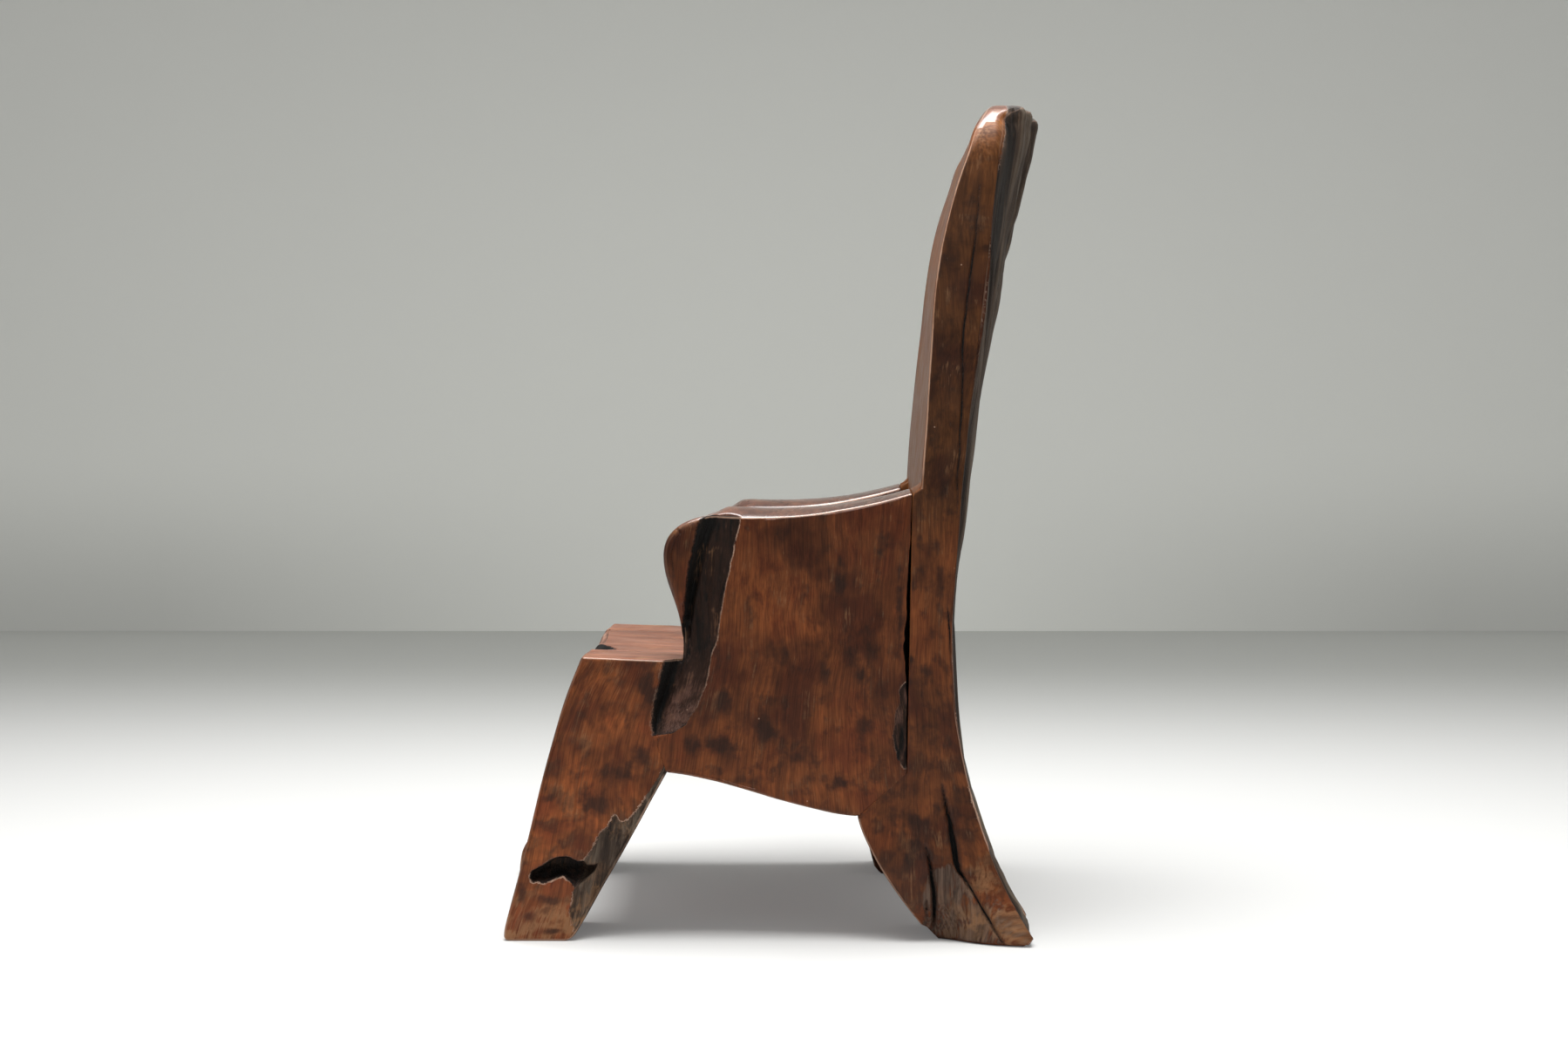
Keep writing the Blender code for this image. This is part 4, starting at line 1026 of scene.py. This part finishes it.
def backFront(x, z):
    # rear legs sweep back from the knee, then the joint with panels and seat, then the leaning, hollowed rest
    b, c = backSet, chair
    toe = b["rightToe"] + (b["leftToe"] - b["rightToe"]) * (x > 0)
    leg = c["archRear"][0] + (toe - c["archRear"][0]) * np.clip(1 - z / c["archRear"][1], 0, 1) ** 1.35
    rise = (z - c["archRear"][1]) / (c["knee"][1] - c["archRear"][1])
    knee = c["archRear"][0] + (c["knee"][0] - c["archRear"][0]) * rise
    inside = c["spread"] / 2 - c["panel"]
    share = np.clip((outerX(z) - np.abs(x)) / c["panel"], 0, 1)
    ledge = c["armRear"] + (ledgeTop - c["armRear"]) * (1 - np.abs(2 * share - 1) ** 2.4)
    lower = seamY(z) + b["ledge"] * ease(c["seatHeight"], ledge, z) * (np.abs(x) < inside)
    above = np.clip(z - b["bendZ"], 0, None)
    upper = seamY(ledgeTop) + b["ledge"] + b["frontLean"] * (z - ledgeTop)
    upper = upper + b["bendRadius"] - np.sqrt(b["bendRadius"] ** 2 - above ** 2)
    upper = upper + 0.006 * ease(-0.1, -0.25, x) * np.exp(-((z - 0.90) / 0.09) ** 2)
    upper = upper - 0.0050 * np.exp(-((z - 1.125) / 0.028) ** 2)
    deep = np.minimum((z - ledgeTop) / (b["bendZ"] - ledgeTop), (b["height"] - z) / (2 * b["shoulderHigh"]))
    deep = ease(-0.2, 1.2, np.clip(deep, 0, 1))
    upper = upper + b["hollow"] * deep * (1 - (x / halfWidth(np.minimum(z, 1.08))) ** 2)
    y = np.where(z < c["archRear"][1], leg, np.where(z < c["knee"][1], knee, lower))
    between = ease(ledgeTop - 0.03, ledgeTop + 0.03, z)
    step = np.where(np.abs(x) < inside, between, ease(ledge, ledge + 0.006, z))
    return np.where(z > c["seatHeight"], y * (1 - step) + upper * step, y)


def backRear(x, z):
    # the planed edge line, with the round of the trunk across it and shallow flutes
    b = backSet
    side = np.clip(x / halfWidth(np.minimum(z, b["height"] - b["shoulderHigh"] * 0.3)), -1, 1)
    waistZ = chair["waist"][1]
    rise = np.clip((z - waistZ) / (b["height"] - waistZ), 0, 1) ** 2.2
    bulge = b["waistBulge"] * np.clip(z / waistZ, 0, 1) + (b["crestBulge"] - b["waistBulge"]) * rise
    flute = b["flute"] * (1 - np.cos(np.pi * b["flutes"] * (side + 1)))
    return rearLineY(z) + (bulge + flute * bulge / b["crestBulge"]) * (1 - np.abs(side) ** 2.2)


def topZ(x):
    # the crest's outline: flat over the middle, a quarter ellipse at each shoulder
    b = backSet
    t = np.clip(1 - (b["topWidth"] / 2 - np.abs(x)) / b["shoulderWide"], 0, 1)
    return b["height"] - b["shoulderHigh"] * (1 - np.sqrt(1 - t * t))


def backTimber():
    # From the front surface to the rear one over the outline of feet, arch and crest, then moved along its
    # normals by waves, furrows and cracks.
    b, c, seed, corner = backSet, chair, backSet["seed"], backSet["corner"]
    z = np.linspace(0, topZ(np.array([corner]))[0], 400)

    def nearFoot(x, z):
        return 1 + 0.8 * ease(0.27, 0.22, z)

    right = evenly(b["up"], np.stack([halfWidth(z), z], axis=1), weight=nearFoot)
    left = right * (-1, 1)
    half, spring, foot = b["archWide"] / 2, b["archHigh"] * 0.45, halfWidth(np.array([0.0]))[0]
    turn = np.linspace(np.pi, 0, 60)
    arch = np.stack([half * np.cos(turn), spring + (b["archHigh"] - spring) * np.sin(turn)], axis=1)
    bottom = evenly(b["across"], [(-foot, 0), (-half, 0)], arch, [(half, 0), (foot, 0)])
    # columns of the face lean from the feet to the crest
    u, first = np.linspace(0, 1, b["across"]), bottom[:b["across"] // 2]
    inFoot = np.argmin(np.abs(first[:, 0] + half) + first[:, 1]) / (b["across"] - 1)
    atSpring = np.argmin(np.abs(first[:, 1] - spring)) / (b["across"] - 1)
    stops = [0, inFoot, atSpring, 1 - atSpring, 1 - inFoot, 1]
    x = np.interp(u, stops, [-corner, -0.226, -0.206, 0.206, 0.226, corner])
    top = np.stack([x, topZ(x)], axis=1)

    def rounding(ring, side):
        # uneven edge radii, fuller at the crest, almost none where the panels meet it
        z, upright = ring[:, 1], side % 2 == 1
        r = 0.005 + 0.0018 * cloud(np.c_[ring, ring[:, :1]], 0.05, seed)
        r = np.where((side == 0) & (z < 0.01), 0.004, r)
        joint = upright & (z > c["archRear"][1]) & (z < c["armRear"])
        front = r + 0.006 * ease(1.06, 1.15, z)
        front = np.where(joint, np.where(z < c["knee"][1], 0.0004, 0.0014), front)
        return front, r + 0.010 * ease(1.06, 1.15, z)

    def place(part):
        # straight across from the front surface to the rear one
        x, z, share = part["a"], part["b"], part["share"]
        front, rear = backFront(x, z), backRear(x, z)
        return np.stack([x, front + (rear - front) * share, z], axis=1)

    def thick(x, z):
        return backRear(x, z) - backFront(x, z)

    part = slab((bottom, right, top, left), rounding, thick, place, middle=48)
    p, n, x, z = part["verts"], part["normals"], part["a"], part["b"]
    y, side, share = p[:, 1], part["side"], part["share"]
    nearSide, farSide = ease(0.3, 0.8, n[:, 0]), ease(0.3, 0.8, -n[:, 0])
    behind = ease(0.2, 0.7, n[:, 1]) * (share > 0.5)
    shift = hewnWave(p)
    # the natural rear: long ridges with furrows between them, and finer fibres
    furrow = ease(0.0, 0.42, np.abs(cloud(p, (0.040, 0.040, 0.60), seed + 3, 2)))
    fibres = cloud(p, (0.012, 0.012, 0.30), seed + 6, 2)
    broad = cloud(p, (0.055, 0.055, 0.80), seed + 5, 2)
    shift += behind * (b["furrow"] * (furrow - 1) + b["fibres"] * fibres + b["broad"] * broad)
    rag = 0.004 * cloud(p, (0.02, 0.02, 0.06), seed + 7, 3)
    onSide = np.where(side >= 0, (share - 1) * 0.06 - 0.001 + rag * 0.5, -0.03)
    natural = np.where(share == 1, part["edge"] - 0.006 + rag, onSide)
    natural = np.where(z > 1.0, np.maximum(natural, y - rearLineY(z) - 0.002 + rag), natural)
    onNear = (nearSide > 0.3) & (side >= 0)
    weathered = regionField(y, z, b["weathered"]) + 0.007 * cloud(p, (0.012, 0.012, 0.04), seed + 9, 3)
    weathered = np.where(onNear, weathered, -0.02)
    strands = regionField(y, z, b["strands"]) + 0.009 * cloud(p, (0.010, 0.010, 0.05), seed + 14, 3)
    strands = np.where(onNear, strands, -0.02)
    shift -= ease(0, 0.004, weathered) * (0.0012 + 0.002 * cloud(p, (0.007, 0.007, 0.07), seed + 12, 2))
    # behind its long crack the side of the post turns away to the rear
    crackLine = np.array(b["cracks"][0][0])[::-1]
    beyond = np.clip(y - np.interp(z, crackLine[:, 1], crackLine[:, 0]), 0, 0.06)
    beyond = beyond * ease(0.52, 0.62, z) * ease(1.13, 1.06, z) * nearSide
    shift -= 0.16 * beyond
    # cracks are cut in and painted near black inside as painted shade
    crack = np.full(len(p), 0.02)
    for facing, lines in ((nearSide, b["cracks"]), (farSide, b["cracksRight"])):
        for k, (line, width, depth) in enumerate(lines):
            wander = 0.0022 * cloud(p, (0.05, 0.05, 0.03), seed + 20 + k, 2)
            away, way = lineField(y + wander, z, line)[:2]
            swell = 1 + 0.4 * cloud(p, (0.02, 0.02, 0.03), seed + 30 + k)
            width = np.interp(way, np.linspace(0, 1, len(width)), width) * swell
            away = np.where(facing > 0.3, away, 0.03)
            crack = np.minimum(crack, away - width + 0.003 * (width < 0.0002))
            shift -= depth * ease(width + 0.002, 0.0, away) * facing * ease(0.0, 0.0012, width)
    hidden = (z > c["archRear"][1]) & (z < c["armRear"]) & (np.abs(x) > c["spread"] / 2 - c["panel"])
    joint = (share == 0) & hidden
    shift = np.where(joint | (z < 0.0005), 0.0, shift)
    moved = p + n * shift[:, None]
    # the feet turn out at the heel
    low = ease(0.13, 0.0, z) * ease(0.2, 0.34, np.abs(x))
    moved[:, 0] += np.sign(x) * low * (b["heelOut"] * ease(0.27, 0.37, y) - b["toeIn"] * ease(0.29, 0.23, y))
    moved[:, 0] -= b["toeTuck"] * ease(0.06, 0.0, z) * ease(0.32, 0.23, y) * ease(0.2, 0.34, x)
    # worn round at toe and heel; the right heel is shorter
    heel = rearLineY(np.full(len(z), b["heelWorn"])) - 1.2 * (b["heelWorn"] - z)
    moved[:, 1] = np.where(z < b["heelWorn"], np.minimum(moved[:, 1], heel), moved[:, 1])
    toe = np.where(x > 0, b["leftToe"], b["rightToe"]) + 0.008 - 0.9 * z
    moved[:, 1] = np.where(z < 0.02, np.maximum(moved[:, 1], toe), moved[:, 1])
    moved[:, 1] -= b["rightHeel"] * ease(0.14, 0.0, z) * ease(0.26, 0.36, y) * (x < 0)
    moved[:, 2] = np.where(z < 0.0005, 0.0, np.maximum(moved[:, 2], 0.0))
    part["verts"] = moved
    up = ease(0.35, 0.8, n[:, 2])
    frontal = ease(0.3, 0.8, -n[:, 1])
    seam = hidden & (side % 2 == 1) & (share < 0.3)
    lit = 0.1 + 0.4 * frontal + 0.8 * nearSide * ease(0.60, 0.70, z)
    rub = 0.3 + 0.6 * ease(0.62, 0.66, z) * (share < 0.5) + 0.4 * ease(0.3, 0.2, z)
    rub = rub + 0.4 * (share > 0.5) * ease(0.46, 0.4, z)
    dry = np.maximum(0.85 * ease(-0.003, 0.004, weathered), 0.6 * ease(-0.006, 0.010, strands))
    # tan scuffs at the feet and in spots; near the crest the tan gives the facet a gold colour and lifts it
    # as painted highlight
    tan = blobs(y, z, b["tans"]) + 0.3 * ease(1.05, 1.10, z) + 0.25 * ease(0.09, 0.02, z)
    # upward faces are painted much lighter as painted highlight, and the face turned away behind the long
    # crack lighter as painted sheen
    tone = np.where(up > 0.3, 2.0, sideTone(y, z) + 8 * beyond)
    fields = {
        "edge": part["edge"] + 0.03 * joint + 0.03 * seam,
        "rub": np.clip(rub, 0, 1) * ~(hidden & (share < 0.2)),
        "natural": natural,
        "crack": crack,
        "warm": np.where(natural > -0.002, 1.2 * furrow - 1 + 0.5 * fibres + 1.6 * broad, lit),
        "spots": 0.3 + 0.5 * ease(0.45, 0.25, z),
        "stain": blobs(y, z, b["stains"]) * nearSide,
        "weather": np.maximum(dry, 0.2 * ease(0.10, 0.05, z) * ease(0.235, 0.26, y) * nearSide),
        "tan": nearSide * tan,
        "gold": nearSide * (0.15 + 0.45 * ease(0.5, 0.66, z)),
        "polish": np.maximum(0.9 * up * ease(1.0, 1.1, z), 0.6 * frontal * ease(0.36, 0.42, z)),
        # the front face of the back is painted lighter as painted light falling from the front
        "tone": np.where(frontal > 0.3, 1.4, tone),
        "flow": backGrain(y, z),
    }
    piece = pieceFrom("back_timber", part, fields, (sideWood, polishedWood))
    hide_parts("back")


backTimber()


# fibres as a number per metre
pegSet = {"dark": "#5E3A22", "light": "#9A6B43", "fibres": 220.0}


def pegWood():
    # Riven hardwood pegs, dry and unfinished: straight fibres, matt
    mat, add = bareMaterial("riven_peg_wood")
    where = add("TexCoord", out="Object")
    fibre = add("TexNoise", {"Vector": where, "Scale": pegSet["fibres"], "Detail": 3.0})
    tone = add("MixRGB", {0: fibre, 1: linear(pegSet["dark"]), 2: linear(pegSet["light"])})
    bump = add("Bump", {"Strength": 0.3, "Distance": 0.0005, "Height": fibre}, out="Normal")
    shader = add("BsdfPrincipled", {"Base Color": tone, "Roughness": 0.7, "Normal": bump})
    add("OutputMaterial", {"Surface": shader})
    return mat


# the blind pegs stay as they are in the frame
pegMaterial = pegWood()
for name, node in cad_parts.items():
    if "_peg_" in name:
        node.data.materials.clear()
        node.data.materials.append(pegMaterial)

# a pale floor that greys towards a grey wall, with soft light from above
stageSet = {
    "floor": "#D3D3D1", "floorFar": "#CBCCC8", "wall": "#F3F4EE", "backdrop": "#B3B5AF", "wallAway": 5.45,
    "glow": 0.12, "wallGlow": 0.035, "wallShade": 0.30, "low": 0.16, "high": 0.62,
    "lamp": 170.0, "lampSize": 2.4, "lampPlace": (0.3, 0.0, 3.2), "reach": 14, "wallHigh": 9,
    # where the floor's colour changes, and where the wall's shade begins and ends to the sides and upwards
    "fade": (-4.2, -1.2), "aside": (0.4, 2.4), "shadeHigh": 0.7, "overhead": 0.9,
}


def plainStage():
    s = stageSet
    turn = np.radians(cameraSet["turn"])
    wheel = np.array([[np.cos(turn), np.sin(turn), 0], [-np.sin(turn), np.cos(turn), 0], [0, 0, 1]])

    def sheet(name, corners, near, far, glowFar, glow, shade):
        # a flat sheet, square to the camera, whose colour goes from near to far on the way to the wall; the
        # camera sees it a little lighter than it lights the chair
        mat, add = bareMaterial(name)
        x = add("SeparateXYZ", {0: add("TexCoord", out="Object")})
        tone = add("MapRange", {0: x, 1: s["fade"][0], 2: s["fade"][1]}, interpolation_type="SMOOTHSTEP")
        lift = add("MapRange", {0: tone, 3: glowFar, 4: glow})
        lift = add("Math", {0: lift, 1: add("LightPath", out="Is Camera Ray")}, operation="MULTIPLY")
        tone = add("MixRGB", {0: tone, 1: linear(far), 2: linear(near)})
        y, z = (add("SeparateXYZ", {0: add("TexCoord", out="Object")}, out=k) for k in (1, 2))
        aside = add("Math", {0: y}, operation="ABSOLUTE")
        aside = add("MapRange", {0: aside, 1: s["aside"][0], 2: s["aside"][1]})
        ends = {1: 0.0, 2: s["shadeHigh"], 3: shade, 4: 0.0}
        low = add("MapRange", {0: z, **ends}, interpolation_type="SMOOTHSTEP")
        low = add("Math", {0: low, 1: aside}, operation="MULTIPLY")
        tone = add("MixRGB", {0: low, 1: tone, 2: (0.0, 0.0, 0.0, 1.0)})
        links = {"Base Color": tone, "Roughness": 0.9, "Specular IOR Level": 0.1}
        links.update({"Emission Color": (1.0, 1.0, 1.0, 1.0), "Emission Strength": lift})
        add("OutputMaterial", {"Surface": add("BsdfPrincipled", links)})
        mesh = bpy.data.meshes.new(name)
        mesh.from_pydata((np.array(corners, float) @ wheel).tolist(), [], [(0, 1, 2, 3)])
        mesh.materials.append(mat)
        obj = bpy.data.objects.new(name, mesh)
        scene.collection.objects.link(obj)

    w, r, high = -s["wallAway"], s["reach"], s["wallHigh"]
    floor = [(w, -r, 0), (r, -r, 0), (r, r, 0), (w, r, 0)]
    wall = [(w, -r, 0), (w, r, 0), (w, r, high), (w, -r, high)]
    sheet("studio_floor", floor, s["floor"], s["floorFar"], 0.0, s["glow"], 0.0)
    sheet("studio_wall", wall, s["wall"], s["wall"], s["wallGlow"], s["wallGlow"], s["wallShade"])
    world = bpy.data.worlds.new("studio")
    world.use_nodes = True
    world.node_tree.nodes.clear()
    add = functools.partial(put, world.node_tree)
    # brighter overhead than at the sides
    height = add("SeparateXYZ", {0: add("TexCoord", out="Generated")}, out=2)
    ends = {1: 0.0, 2: s["overhead"], 3: s["low"], 4: s["high"]}
    height = add("MapRange", {0: height, **ends}, interpolation_type="SMOOTHSTEP")
    lit = add("Background", {"Strength": height})
    seen = add("Background", {"Color": linear(s["backdrop"])})
    mixed = add("MixShader", {0: add("LightPath", out="Is Camera Ray"), 1: lit, 2: seen})
    add("OutputWorld", {"Surface": mixed})
    scene.world = world
    lamp = bpy.data.lights.new("softbox", "AREA")
    lamp.shape, lamp.size, lamp.size_y, lamp.energy = "RECTANGLE", s["lampSize"], s["lampSize"], s["lamp"]
    soft = bpy.data.objects.new("softbox", lamp)
    soft.location = s["lampPlace"]
    scene.collection.objects.link(soft)


plainStage()
print("stage ready")
